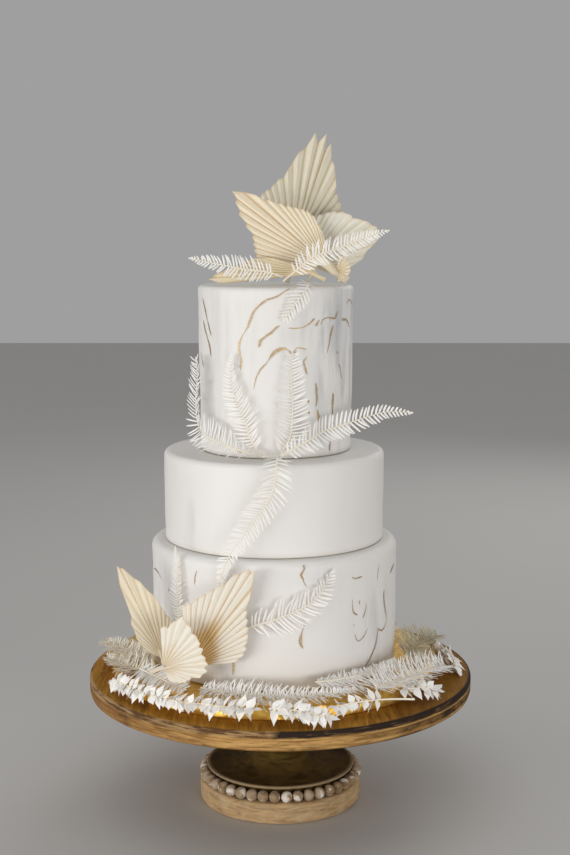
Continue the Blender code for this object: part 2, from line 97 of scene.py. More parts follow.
class Shader:
    """A node material with a Principled shader and short calls to add nodes."""

    def __init__(self, name, roughness, metallic=0, specular=0.5):
        self.material = bpy.data.materials.new(name)
        self.material.use_nodes = True
        self.tree = self.material.node_tree
        self.principled = self.tree.nodes["Principled BSDF"]
        self.principled.inputs["Roughness"].default_value = roughness
        self.principled.inputs["Metallic"].default_value = metallic
        self.principled.inputs["Specular IOR Level"].default_value = specular

    def add(self, kind, inputs=None, **settings):
        node = self.tree.nodes.new(kind)
        for key, value in settings.items():
            setattr(node, key, value)
        for key, value in (inputs or {}).items():
            self.put(node.inputs[key], value)
        return node

    def put(self, socket, value):
        """Link a value that is a socket of another node, or else set it."""
        if isinstance(value, bpy.types.NodeSocket):
            self.tree.links.new(value, socket)
        else:
            socket.default_value = value

    def place(self, scale=(1, 1, 1), turn=(0, 0, 0), shift=(0, 0, 0)):
        source = self.add("ShaderNodeTexCoord").outputs["Object"]
        mapping = self.add("ShaderNodeMapping", {
            "Vector": source, "Scale": scale, "Rotation": turn, "Location": shift,
        })
        return mapping.outputs["Vector"]

    def noise(self, vector, scale, detail=4, roughness=0.55, distortion=0):
        return self.add("ShaderNodeTexNoise", {
            "Vector": vector, "Scale": scale, "Detail": detail, "Roughness": roughness,
            "Distortion": distortion,
        }).outputs["Fac"]

    def range(self, value, low, high, out_low=0, out_high=1):
        return self.add("ShaderNodeMapRange", {
            "Value": value, "From Min": low, "From Max": high, "To Min": out_low, "To Max": out_high,
        }, clamp=True).outputs["Result"]

    def math(self, operation, first, second=0):
        return self.add("ShaderNodeMath", {0: first, 1: second}, operation=operation).outputs[0]

    def plus(self, first, second):
        return self.math("ADD", first, second)

    def times(self, first, second):
        return self.math("MULTIPLY", first, second)

    def mix(self, factor, first, second):
        node = self.add("ShaderNodeMix", {0: factor}, data_type="RGBA")
        for socket, value in ((node.inputs[6], first), (node.inputs[7], second)):
            self.put(socket, value if isinstance(value, bpy.types.NodeSocket) else (*value[:3], 1))
        return node.outputs[2]

    def attribute(self, name):
        return self.add("ShaderNodeAttribute", attribute_name=name).outputs["Fac"]

    def axis(self, letter, vector):
        return self.add("ShaderNodeSeparateXYZ", {"Vector": vector}).outputs[letter]

    def colour(self, value):
        self.tree.links.new(value, self.principled.inputs["Base Color"])

    def roughness(self, value):
        self.tree.links.new(value, self.principled.inputs["Roughness"])

    def bump(self, height, distance, strength=1):
        bump = self.add("ShaderNodeBump", {"Height": height, "Distance": distance, "Strength": strength})
        self.tree.links.new(bump.outputs["Normal"], self.principled.inputs["Normal"])


def fondant_material(name):
    """Sugar paste: nearly white, smoothed by hand, with soft grey and lilac marbling, some painted shade
    laid by the same smudge mask, and a band of painted shade at each tier's foot.
    """
    shader = Shader(name, 0.5, specular=0.35)
    base = look().fondant_colour
    cloud = shader.noise(shader.place(), 9, 3)
    warm = shader.range(cloud, 0.3, 0.7)
    colour = shader.mix(warm, base, tinted(base, (0.99, 0.98, 0.965)))
    flow = shader.noise(shader.place((1, 1, 0.16)), 38, 5, 0.6, 0.7)
    fine = shader.noise(shader.place((1, 1, 0.1), shift=(0.3, 0.1, 0.2)), 130, 3)
    streak = shader.range(flow, 0.44, 0.6)
    streak = shader.times(streak, shader.range(fine, 0.3, 0.6, 0.4, 1))
    # The smudge mask lays the marbling and, in a few places, painted shade.
    amount = shader.times(streak, shader.attribute("smudge"))
    tint = shader.mix(shader.range(cloud, 0.42, 0.6), (0.46, 0.46, 0.5), (0.48, 0.5, 0.48))
    colour = shader.mix(shader.math("MINIMUM", amount, 0.8), colour, tint)
    # Painted shade: an olive-brown band at the foot of each tier, in the crease where it sits on the part
    # below.
    foot_shade = shader.range(shader.attribute("foot_shade"), 0, 1)
    shader.colour(shader.mix(foot_shade, colour, (0.36, 0.31, 0.17)))
    strokes = shader.noise(shader.place((1, 1, 0.5)), 55, 3)
    grain = shader.noise(shader.place(), 900, 2)
    surface = shader.plus(strokes, shader.times(grain, 0.06))
    shader.bump(surface, 0.0006, 0.5)
    shader.roughness(shader.range(strokes, 0.3, 0.7, 0.42, 0.6))
    return shader.material


def vein_material():
    """Edible paint: tan gold that runs to dark brown where tone is high, worn in places."""
    shader = Shader("vein_paint", 0.42, metallic=0.15)
    gold = look().vein_colour
    dark = tinted(gold, (0.44, 0.37, 0.36))
    patchy = shader.noise(shader.place(), 420, 4, 0.7)
    colour = shader.mix(shader.times(shader.attribute("tone"), 0.8), gold, dark)
    colour = shader.mix(shader.range(patchy, 0.45, 0.75, 0, 0.55), colour, (0.74, 0.68, 0.58))
    shader.colour(colour)
    shader.bump(patchy, 0.0003, 0.5)
    return shader.material


def foil_material():
    """Gold foil over card, embossed with a small leafy pattern and a little creased."""
    shader = Shader("gold_foil", 0.36, metallic=0.85)
    place = shader.place()
    cells = shader.add("ShaderNodeTexVoronoi", {"Vector": place, "Scale": 170}, feature="SMOOTH_F1")
    crease = shader.noise(place, 45, 5, 0.6, 0.6)
    gold = look().foil_colour
    shader.colour(shader.mix(shader.range(crease, 0.35, 0.7), gold, tinted(gold, (0.72, 0.66, 0.45))))
    height = shader.plus(cells.outputs["Distance"], shader.times(crease, 1.4))
    shader.bump(height, 0.0011, 0.6)
    shader.roughness(shader.range(crease, 0.3, 0.7, 0.26, 0.44))
    return shader.material


def plate_material():
    """Oiled planks of a turned plate: warm grain, dark joints and a rim part scorched, part washed, with
    painted shade on its lower edge towards the right.
    """
    shader = Shader("plate_wood", 0.7, specular=0.1)
    wood = look().wood_colour
    turn = (0, 0, math.radians(-7.5))
    place = shader.place(turn=turn)
    across = shader.axis("X", place)
    first_joint = 0.027
    plank_width = 0.058
    plank = shader.math("DIVIDE", shader.plus(across, first_joint), plank_width)
    number = shader.math("FLOOR", plank)
    tone = shader.add("ShaderNodeTexWhiteNoise", {"W": number}, noise_dimensions="1D").outputs["Value"]
    inside = shader.math("PINGPONG", plank, 0.5)
    joint = shader.range(inside, 0, 0.007, 0.3, 0)
    offset = shader.add("ShaderNodeCombineXYZ", {"Y": shader.times(number, 3.7)}).outputs[0]
    lines = shader.add("ShaderNodeVectorMath", {0: shader.place((9, 1, 9), turn), 1: offset},
                       operation="ADD")
    grain = shader.noise(lines.outputs[0], 14, 7, 0.62, 1.2)
    pores = shader.noise(shader.place((26, 1, 26), turn), 60, 3)
    patches = shader.noise(place, 11, 3)
    light = tinted(wood, (1.45, 1.4, 1.25))
    dark = tinted(wood, (0.5, 0.42, 0.36))
    colour = shader.mix(shader.range(grain, 0.34, 0.68), light, dark)
    colour = shader.mix(shader.range(tone, 0.2, 0.8, 0, 0.7), colour, dark)
    colour = shader.mix(shader.range(pores, 0.56, 0.72, 0, 0.6), colour, dark)
    colour = shader.mix(shader.range(patches, 0.5, 0.75, 0, 0.35), colour, tinted(wood, (1.3, 1.45, 1.2)))
    colour = shader.mix(joint, colour, (0.03, 0.017, 0.008))
    rim = shader.attribute("rim")
    streaks = shader.noise(shader.place((1, 1, 13)), 30, 7, 0.68, 0.4)
    blotch = shader.noise(shader.place((1, 1, 3)), 26, 5, 0.65)
    off_centre = shader.math("SUBTRACT", blotch, 0.5)
    height = shader.plus(shader.axis("Z", shader.place()), shader.times(off_centre, 0.004))
    object_x = shader.axis("X", shader.place())
    side = shader.plus(object_x, shader.times(off_centre, 0.05))
    right = shader.range(side, -0.012, -0.002)
    far_right = shader.range(side, 0.07, 0.13)
    dark_streak = shader.range(streaks, 0.46, 0.56)
    tan = shader.mix(shader.range(streaks, 0.42, 0.6), (0.58, 0.345, 0.125), (0.28, 0.145, 0.045))
    tan = shader.mix(shader.range(object_x, -0.19, -0.05, 0.75, 0), tan, (0.2, 0.09, 0.028))
    tan = shader.mix(shader.range(blotch, 0.52, 0.66, 0, 0.6), tan, (0.12, 0.06, 0.02))

    def band(low, high):
        soft = 0.0008
        above = shader.range(height, low - soft, low + soft)
        return shader.times(above, shader.range(height, high - soft, high + soft, 1, 0))

    washed = shader.mix(dark_streak, (0.38, 0.24, 0.11), (0.12, 0.06, 0.025))
    burnt = shader.mix(shader.range(streaks, 0.56, 0.66), (0.028, 0.018, 0.013), (0.2, 0.11, 0.04))
    mottled = shader.mix(shader.range(blotch, 0.44, 0.56), (0.2, 0.11, 0.035), (0.045, 0.027, 0.015))
    rim_colour = shader.mix(band(0.1335, 0.142), tan, shader.mix(right, washed, burnt))
    rim_colour = shader.mix(shader.times(band(0.1255, 0.1318), far_right), rim_colour, mottled)
    # Painted shade: the lower edge of the rim turns near black towards the right, away from the light.
    low_edge_shade = shader.times(band(0.11, 0.1225), shader.range(side, 0.02, 0.12))
    rim_colour = shader.mix(low_edge_shade, rim_colour, (0.05, 0.028, 0.014))
    colour = shader.mix(rim, colour, rim_colour)
    shader.colour(colour)
    relief = shader.math("SUBTRACT", shader.times(grain, 0.6), shader.times(joint, 1.5))
    shader.bump(shader.plus(relief, shader.times(pores, -0.5)), 0.0008, 0.6)
    shader.roughness(shader.range(grain, 0.3, 0.7, 0.6, 0.8))
    return shader.material


def turned_wood_material(name, light, dark, wash, wash_amount, roughness, specular=0.15, chips=0):
    """Turned wood whose grain runs round it, with a pale wash left in patches and chips and on a lip."""
    shader = Shader(name, roughness, specular=specular)
    grain = shader.noise(shader.place((1, 1, 7)), 34, 6, 0.62, 1.2)
    pores = shader.noise(shader.place((1, 1, 18)), 120, 3)
    patches = shader.noise(shader.place(), 60, 5, 0.7)
    colour = shader.mix(shader.range(grain, 0.34, 0.66), light, dark)
    colour = shader.mix(shader.range(pores, 0.58, 0.72, 0, 0.6), colour, dark)
    colour = shader.mix(shader.range(patches, 0.44, 0.62, 0, wash_amount), colour, wash)
    lip = shader.times(shader.attribute("lip"), shader.range(patches, 0.3, 0.5, 0.55, 1))
    colour = shader.mix(lip, colour, (0.34, 0.25, 0.15))
    tone = shader.attribute("tone")
    colour = shader.mix(shader.times(tone, 0.6 - 0.25 * chips), colour, wash)
    if chips:
        left = shader.noise(shader.place(), 115, 2, 0.5, 0.4)
        left = shader.range(shader.plus(left, shader.times(tone, 0.06)), 0.605, 0.645, 0, chips)
        colour = shader.mix(left, colour, (0.84, 0.78, 0.7))
    shader.colour(colour)
    shader.bump(shader.plus(grain, shader.times(pores, -0.7)), 0.0007, 0.6)
    shader.roughness(shader.range(patches, 0.35, 0.65, roughness - 0.08, roughness + 0.15))
    return shader.material


def palm_material(name, ridge, valley, paleness):
    """Dried palm: cream ridges, golden brown folds and fine fibres that run out from the hub."""
    shader = Shader(name, 0.62, specular=0.3)
    uv = shader.add("ShaderNodeUVMap", uv_map="rays").outputs["UV"]
    fibre_place = shader.add("ShaderNodeMapping", {"Vector": uv, "Scale": (70, 2.2, 1)}).outputs["Vector"]
    fibre = shader.noise(fibre_place, 3, 4, 0.6)
    band_place = shader.add("ShaderNodeMapping", {"Vector": uv, "Scale": (14, 1.1, 1)}).outputs["Vector"]
    band = shader.noise(band_place, 1.6, 3, 0.6)
    reach = shader.axis("Y", uv)
    fold = shader.attribute("fold")
    line = shader.range(shader.math("SUBTRACT", fold, shader.times(reach, 0.16)), 0.5, 0.84)
    near = shader.range(reach, 0.1, 1, 1, 0.55)
    gilt = shader.times(shader.times(line, near), shader.range(band, 0.34, 0.52, 0.3, 1))
    colour = shader.mix(shader.range(fibre, 0.35, 0.7, 0, 0.25), ridge, tinted(ridge, (0.88, 0.83, 0.74)))
    warm = shader.range(shader.noise(band_place, 0.7, 2), 0.5, 0.7, 0, 0.22)
    colour = shader.mix(warm, colour, (0.8, 0.6, 0.34))
    colour = shader.mix(shader.times(gilt, 1 - paleness), colour, valley)
    stain = shader.times(shader.attribute("stain"), shader.range(fold, 0, 0.8, 0.5, 1))
    colour = shader.mix(stain, colour, (0.52, 0.28, 0.025))
    edge = shader.range(reach, 0.965, 1, 0, 0.35)
    colour = shader.mix(edge, colour, (0.58, 0.36, 0.13))
    shader.colour(colour)
    shader.bump(fibre, 0.0005, 0.5)
    return shader.material


def frond_material(name, pale, shade):
    """Bleached and dried leaf: nearly white, with creamier ribs and faint blotches."""
    shader = Shader(name, 0.7, specular=0.25)
    blotch = shader.noise(shader.place(), 70, 4, 0.6)
    fine = shader.noise(shader.place(), 600, 3)
    colour = shader.mix(shader.range(blotch, 0.4, 0.75, 0, 0.6), pale, shade)
    colour = shader.mix(shader.times(shader.attribute("rib"), 0.7), colour, tinted(shade, (0.98, 0.93, 0.8)))
    shader.colour(colour)
    shader.bump(fine, 0.0002, 0.5)
    return shader.material


# Meshes

def finish_piece(obj, nodes, material):
    obj.data.materials.append(material)
    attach(obj, "root")
    if nodes:
        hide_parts(*nodes)
    return obj


def link_mesh(name, verts, faces, sharp=None):
    mesh = bpy.data.meshes.new(name)
    mesh.from_pydata([tuple(v) for v in verts], [], faces)
    mesh.validate()
    mesh.update()
    mesh.shade_smooth()
    if sharp is not None:
        mesh.set_sharp_from_angle(angle=math.radians(sharp))
    obj = bpy.data.objects.new(name, mesh)
    bpy.context.scene.collection.objects.link(obj)
    return obj


def face_outward(mesh):
    bm = bmesh.new()
    bm.from_mesh(mesh)
    bmesh.ops.recalc_face_normals(bm, faces=bm.faces)
    bm.to_mesh(mesh)
    bm.free()


def skin(faces, rings):
    """Join a run of rings with faces and close both ends."""
    for first, second in zip(rings, rings[1:]):
        for i in range(len(first)):
            j = (i + 1) % len(first)
            faces.append((first[i], first[j], second[j], second[i]))
    faces.append(tuple(reversed(rings[0])))
    faces.append(tuple(rings[-1]))


def float_attribute(mesh, name, values):
    layer = mesh.attributes.new(name, "FLOAT", "POINT")
    layer.data.foreach_set("value", np.asarray(values, dtype=np.float32))


def turned(name, profile, segments, centre_x=0, shape=None, sharp=35):
    """Turn a profile of (radius, height) points, from the centre of the top to that of the base.

    shape(angle, radius, height) may move a point and returns the new radius and height.
    Returns the object and, for each point, its angle from the front, radius and height.
    """
    verts = []
    facts = []
    rows = []
    for radius, height in profile:
        row = []
        for i in range(segments if radius > 0 else 1):
            angle = math.tau * i / segments
            r, z = shape(angle, radius, height) if shape else (radius, height)
            if radius <= 0:
                r = 0
            row.append(len(verts))
            verts.append(((centre_x + r * math.sin(angle)) * MM, -r * math.cos(angle) * MM, z * MM))
            turn = angle if angle <= math.pi else angle - math.tau
            facts.append((math.degrees(turn), r, z))
        rows.append(row)
    faces = []
    for upper, lower in zip(rows, rows[1:]):
        for i in range(segments):
            j = (i + 1) % segments
            if len(upper) == 1:
                faces.append((upper[0], lower[i], lower[j]))
            elif len(lower) == 1:
                faces.append((upper[i], lower[0], upper[j]))
            else:
                faces.append((upper[i], lower[i], lower[j], upper[j]))
    return link_mesh(name, verts, faces, sharp), np.array(facts)


def smooth_profile(points, step):
    """Add points along the straight runs of a profile, no further apart than a step."""
    result = [points[0]]
    for first, second in zip(points, points[1:]):
        count = max(1, round(math.dist(first, second) / step))
        for i in range(1, count + 1):
            t = i / count
            result.append((first[0] + (second[0] - first[0]) * t, first[1] + (second[1] - first[1]) * t))
    return result


def rounded(radius, top, edge, steps=8):
    points = []
    for step in range(steps + 1):
        turn = math.radians(90 * (1 - step / steps))
        points.append((radius - edge + edge * math.cos(turn), top - edge + edge * math.sin(turn)))
    return points


def heading(turn):
    """The level direction at a turn from the front, in radians, to the right."""
    return Vector((math.sin(turn), -math.cos(turn), 0))


def around(angle, radius, height, up=0, centre_x=CAKE_X):
    """A point beside a tier and the way it faces: angle from the front, to the right."""
    out = heading(math.radians(angle))
    point = Vector((centre_x, 0, height)) + out * radius
    return point, (out * (1 - up) + Vector((0, 0, up))).normalized()


def lying(x, y, height, tilt=0.35):
    """A point on the board and the way a leaf lying there faces: up and a little outward."""
    out = Vector((x - CAKE_X, y, 0)).normalized()
    return Vector((x, y, height)), (out * tilt + Vector((0, 0, 1))).normalized()


def facing(x, y, height, up=0.2):
    """A point in the air with a leaf that faces the front."""
    return Vector((x, y, height)), Vector((0, -1, up)).normalized()


def course(place, *stations):
    """The stations of a leaf's rib, each placed by the same function."""
    return [place(*station) for station in stations]


def blend(values, t):
    """Smooth curve through four neighbouring values."""
    a, b, c, d = values
    return 0.5 * (2 * b + (c - a) * t + (2 * a - 5 * b + 4 * c - d) * t * t
                  + (3 * b - a - 3 * c + d) * t * t * t)


def neighbours(stations):
    """For each run between two stations, these two with the one before and the one after."""
    padded = [stations[0], *stations, stations[-1]]
    return [padded[i:i + 4] for i in range(len(stations) - 1)]


class Spine:
    """A smooth line through points with facing directions, measured along its length."""

    def __init__(self, stations):
        self.points = []
        self.normals = []
        steps = 8
        for near in neighbours(stations):
            for step in range(steps):
                t = step / steps
                self.points.append(blend([point for point, _ in near], t))
                self.normals.append(near[1][1].lerp(near[2][1], t).normalized())
        self.points.append(stations[-1][0])
        self.normals.append(stations[-1][1])
        self.lengths = [0]
        for first, second in zip(self.points, self.points[1:]):
            self.lengths.append(self.lengths[-1] + (second - first).length)
        self.total = self.lengths[-1]

    def frame(self, distance):
        """The point at a distance, and the directions along the line, out of the leaf and to its side."""
        distance = min(max(distance, 0), self.total)
        i = 0
        while i < len(self.lengths) - 2 and self.lengths[i + 1] < distance:
            i += 1
        span = self.lengths[i + 1] - self.lengths[i]
        t = (distance - self.lengths[i]) / span if span > 0 else 0
        point = self.points[i].lerp(self.points[i + 1], t)
        before = self.points[max(i - 2, 0)]
        after = self.points[min(i + 3, len(self.points) - 1)]
        along = (after - before).normalized()
        normal = self.normals[i].lerp(self.normals[i + 1], t)
        normal = (normal - along * normal.dot(along)).normalized()
        return point, along, normal, normal.cross(along)


class Leafwork:
    """Collects the stems and blades of one leaf into one mesh, with a rib value for each point."""

    def __init__(self):
        self.verts = []
        self.faces = []
        self.rib = []

    def ring(self, points, rib):
        start = len(self.verts)
        self.verts.extend([p * MM for p in points])
        self.rib.extend([rib] * len(points))
        return list(range(start, start + len(points)))

    def tube(self, stations):
        """A stem through (point, normal, side, radius) stations, closed at both ends."""
        sides = 6
        rows = []
        for point, normal, side, radius in stations:
            ring = []
            for k in range(sides):
                turn = math.tau * k / sides
                ring.append(point + side * math.cos(turn) * radius + normal * math.sin(turn) * radius)
            rows.append(self.ring(ring, 1))
        skin(self.faces, rows)

    def stem(self, spine, steps, rise, thinning):
        """A stem that lies above a spine and gets thinner towards the tip."""
        stations = []
        for i in range(steps + 1):
            point, _, normal, side = spine.frame(spine.total * i / steps)
            stations.append((point + normal * rise, normal, side, 1 - thinning * i / steps))
        self.tube(stations)

    def blade(self, root, along, side, normal, length, half_width, shape, curl=0, cup=0, thick=0.45,
              bow=0):
        """A leaflet from its root: shape lists (share of length, share of half width)."""
        least_half = 0.04
        rows = []
        for share, width in shape:
            centre = root + along * (length * share)
            centre = centre + normal * (curl * share * share) + side * (bow * share * share)
            half = max(half_width * width, least_half)
            body = thick * (1 - 0.55 * share)
            ring = [
                centre - side * half + normal * cup * width,
                centre + normal * body * 0.5,
                centre + side * half + normal * cup * width,
                centre - normal * body * 0.5,
            ]
            rows.append(self.ring(ring, 0.25 if share < 0.1 else 0))
        skin(self.faces, rows)

    def finish(self, name, nodes, material):
        obj = link_mesh(name, self.verts, self.faces, 50)
        face_outward(obj.data)
        float_attribute(obj.data, "rib", self.rib)
        return finish_piece(obj, nodes, material)


PINNA = [(0, 0.5), (0.12, 0.85), (0.4, 1), (0.72, 0.92), (0.92, 0.6), (1, 0.12)]
OVAL = [(0, 0.12), (0.08, 0.36), (0.2, 0.82), (0.34, 1), (0.5, 0.94), (0.68, 0.62), (0.84, 0.26),
        (1, 0.02)]


def points_away(direction, point):
    """Whether a direction at a point leads away from the cake."""
    return direction.dot(Vector((point.x - CAKE_X, point.y, 0))) > 0


def fern(name, stations, width, pairs, material, bare=0.1, sweep=0.28, lift=0.18, slim=0.25, tail=0.88,
         rows=1,
         loose=0.1, inner=1, outer=1, pile=0.35):
    """A frond of narrow leaflets in pairs along a rib, shorter towards the tip, in one or more rows.

    Loose is how far the leaflets stray, inner and outer lengthen those towards the cake and away from it,
    and pile is how far each row rises above the one below.
    """
    chance = random.Random(name)
    spine = Spine(stations)
    work = Leafwork()
    rise = 0.7
    work.stem(spine, 28, rise, 0.7)
    start = spine.total * bare
    pitch = (spine.total - start) / (pairs + 0.4)
    for row in range(2 * rows):
        sign = 1 if row % 2 == 0 else -1
        raised = row // 2
        for i in range(pairs):
            t = (i + 0.5) / pairs
            reach = width * min(1, 0.6 + 1.8 * t) * (1 - tail * t ** 2.4) * chance.uniform(0.9, 1.07)
            reach *= 1 - 0.15 * raised
            at = start + pitch * (i + 0.5 + 0.35 * (sign < 0) + 0.5 * raised + chance.uniform(-1.2,
                                                                                                1.2) * loose)
            point, along, normal, side = spine.frame(at)
            reach *= outer if points_away(side * sign, point) else inner
            lean = sweep + 0.25 * t + chance.uniform(-1, 1) * loose - 0.3 * raised
            way = side * sign + along * lean + normal * (lift + chance.uniform(-0.8,
                                                                               1) * loose + pile * raised)
            way.normalize()
            cross = way.cross(normal).normalized()
            if cross.dot(along) < 0:
                cross = -cross
            face = way.cross(cross).normalized()
            if face.dot(normal) < 0:
                face = -face
            cross = (cross + face * chance.uniform(-0.12, 0.12)).normalized()
            work.blade(
                point + normal * rise, way, cross, face, reach, pitch * slim, PINNA,
                curl=reach * chance.uniform(-0.5, 0.5) * loose, cup=-0.12,
                bow=reach * chance.uniform(0.02, 0.1 + loose),
            )
    point, along, normal, side = spine.frame(spine.total - pitch * 0.4)
    work.blade(point + normal * rise, along, side, normal, pitch * 1.1, pitch * slim, PINNA)
    return work.finish(name + "_frond", [name], material)


def sprig(name, stations, length, width, count, material, inner=0.55, outer=-0.5, bare=0):
    """A stem with pointed oval leaves in pairs: those on the outer side droop, the inner ones rise."""
    chance = random.Random(name)
    spine = Spine(stations)
    work = Leafwork()
    rise = 0.8
    work.stem(spine, 20, rise, 0.5)
    pitch = spine.total * (1 - bare) / count
    for i in range(count):
        for sign in (1, -1) if chance.random() < 0.45 else (1, -1, chance.choice((1, -1))):
            at = spine.total * bare + pitch * (i + 0.6 + sign * chance.uniform(0, 0.35))
            point, along, normal, side = spine.frame(at)
            slope = math.radians(chance.uniform(30, 95))
            up = (outer if points_away(side * sign, point) else inner) + chance.uniform(-0.55, 0.55)
            way = (along * math.cos(slope) + side * sign * math.sin(slope) + normal * up).normalized()
            cross = way.cross(normal).normalized()
            face = cross.cross(way).normalized()
            twist = chance.uniform(-0.8, 0.8)
            cross, face = (cross + face * twist).normalized(), (face - cross * twist).normalized()
            reach = length * chance.uniform(0.8, 1.3)
            work.blade(
                point + normal * rise, way, cross, face, reach, width * 0.5 * chance.uniform(0.8, 1.1), OVAL,
                curl=reach * chance.uniform(-0.35, 0.2), cup=width * chance.uniform(0.04, 0.2), thick=0.5,
                bow=reach * chance.uniform(-0.15, 0.15),
            )
    point, along, normal, side = spine.frame(spine.total)
    work.blade(point + normal * rise, along, side, normal, length, width * 0.45, OVAL, cup=0.4)
    return work.finish(name + "_leaves", [name], material)


def outline_length(outline, angle):
    for (a, first), (b, second) in zip(outline, outline[1:]):
        if a <= angle <= b:
            return first + (second - first) * (angle - a) / (b - a)
    return outline[-1][1]


def ray_angles(outline, rays, spacing, chance):
    """Angles of a fan's folds and ridges in turn, a little uneven, with a ridge at each peak of its outline.

    Spacing is the angle between two of them.
    """
    first, last = outline[0][0], outline[-1][0]
    angles = []
    for i in range(rays + 1):
        regular = first + (last - first) * i / rays
        angle = regular + chance.uniform(-0.25, 0.25) * spacing * (0 < i < rays)
        for before, peak, after in zip(outline, outline[1:], outline[2:]):
            is_peak = peak[1] > max(before[1], after[1])
            if i % 2 == 1 and is_peak and abs(regular - peak[0]) <= spacing:
                angle = peak[0]
        angles.append(angle)
    for i in range(2, rays, 2):
        angles[i] += ((angles[i - 1] + angles[i + 1]) * 0.5 - angles[i]) * 0.8
    return angles


def palm_stem(foot, head, normal, stem_radius, taper):
    """Rings of (point, place on the leaf) from the foot of a stem to its head in the hub."""
    stem = (head - foot).normalized()
    side = stem.cross(normal).normalized()
    face = side.cross(stem).normalized()
    steps = 8
    sides = 12
    rings = []
    for step in range(steps + 1):
        share = step / steps
        radius = stem_radius * (1 - taper * share)
        ring = []
        for k in range(sides):
            turn = math.tau * k / sides
            flat = 0.6 if math.sin(turn) > 0.3 else 0.8
            point = foot.lerp(head, share) + side * math.cos(turn) * radius * (1 + 0.25 * share)
            point += face * math.sin(turn) * radius * flat
            ring.append((point, (k / sides, 0.1 + 0.2 * share)))
        rings.append(ring)
    return rings


def palm(name, hub, outline, pleats, stem_end, stem_radius, material, yaw=0, lean=0, notch=0.025, far=0,
         slits=(), stain=0, axis=None, taper=0.5, depth=0.3):
    """A pleated fan cut to a point, with its stem.

    The outline lists (angle, length) round the hub, from the left over the top to the right. The pleats
    leave the hub and then run on as if from a point that lies further back by the distance called far.
    """
    chance = random.Random(name)
    turn = math.radians(yaw)
    tip_back = math.radians(lean)
    across = Vector((math.cos(turn), math.sin(turn), 0))
    out = heading(turn)
    up = Vector((0, 0, 1)) * math.cos(tip_back) - out * math.sin(tip_back)
    normal = across.cross(up)
    hub = Vector(hub)
    rays = 2 * pleats
    inner = 3
    stem_reach = 12
    steps = 12
    thick = 0.5
    first, last = outline[0][0], outline[-1][0]
    pitch = math.radians((last - first) / rays)
    middle = math.radians((first + last) * 0.5 if axis is None else axis)
    centre = hub - (across * math.sin(middle) + up * math.cos(middle)) * far
    spacing = math.degrees(pitch)
    angles = ray_angles(outline, rays, spacing, chance)
    verts = []
    fold = []
    stains = []
    places = []
    grid = []
    for i, angle in enumerate(angles):
        ridge = i % 2 == 1
        length = outline_length(outline, angle) * (1 if ridge else 1 - notch * chance.uniform(0.4, 1.6))
        length *= chance.uniform(0.985, 1)
        if not ridge:
            for at, cut in slits:
                if abs(angle - at) < spacing * 1.1:
                    length *= 1 - cut
        way = across * math.sin(math.radians(angle)) + up * math.cos(math.radians(angle))
        start = hub + way * inner
        end = hub + way * length
        control = end + (centre - end) * 0.55
        deep = chance.uniform(0.75, 1.2)
        column = []
        for step in range(steps + 1):
            share = step / steps
            low = start * (1 - share) ** 2 + control * 2 * share * (1 - share) + end * share * share
            radius = (low - hub).length
            height = radius * pitch * depth * deep * (1 if ridge else -1)
            low = low + normal * height
            column.append((len(verts), len(verts) + 1))
            verts.extend([low * MM, (low + normal * thick) * MM])
            fold.extend([0 if ridge else 1] * 2)
            stains.extend([min(1, stain * max(0, 1.55 - 2.6 * share))] * 2)
            places.extend([(i / rays, share)] * 2)
        grid.append(column)
    faces = []
    for near, next_one in zip(grid, grid[1:]):
        for step in range(steps):
            a, b, c, d = near[step], next_one[step], next_one[step + 1], near[step + 1]
            faces.append((a[1], b[1], c[1], d[1]))
            faces.append((d[0], c[0], b[0], a[0]))
        for step in (0, steps):
            a, b = near[step], next_one[step]
            faces.append((a[0], b[0], b[1], a[1]))
    for column in (grid[0], grid[-1]):
        for a, b in zip(column, column[1:]):
            faces.append((a[0], b[0], b[1], a[1]))
    head = hub + (across * math.sin(middle) + up * math.cos(middle)) * stem_reach + normal * thick * 0.5
    rows = []
    for ring in palm_stem(Vector(stem_end), head, normal, stem_radius, taper):
        rows.append(list(range(len(verts), len(verts) + len(ring))))
        for point, place in ring:
            verts.append(point * MM)
            fold.append(0.35)
            stains.append(0.12 + 0.8 * stain * (stain < 1))
            places.append(place)
    skin(faces, rows)
    obj = link_mesh(name + "_leaf", verts, faces)
    face_outward(obj.data)
    obj.data.set_sharp_from_angle(angle=math.radians(18))
    float_attribute(obj.data, "fold", fold)
    float_attribute(obj.data, "stain", stains)
    uv = obj.data.uv_layers.new(name="rays")
    for loop in obj.data.loops:
        uv.data[loop.index].uv = places[loop.vertex_index]
    return finish_piece(obj, [name], material)


def wall_radius(height, form):
    """The radius of a tier's side at a height, with its rounded upper edge."""
    radius, foot_radius, bottom, top, edge = form
    if height > top - edge:
        rise = min((height - (top - edge)) / edge, 0.98)
        return radius - edge + edge * math.sqrt(1 - rise * rise)
    return foot_radius + (radius - foot_radius) * (height - bottom) / (top - edge - bottom)


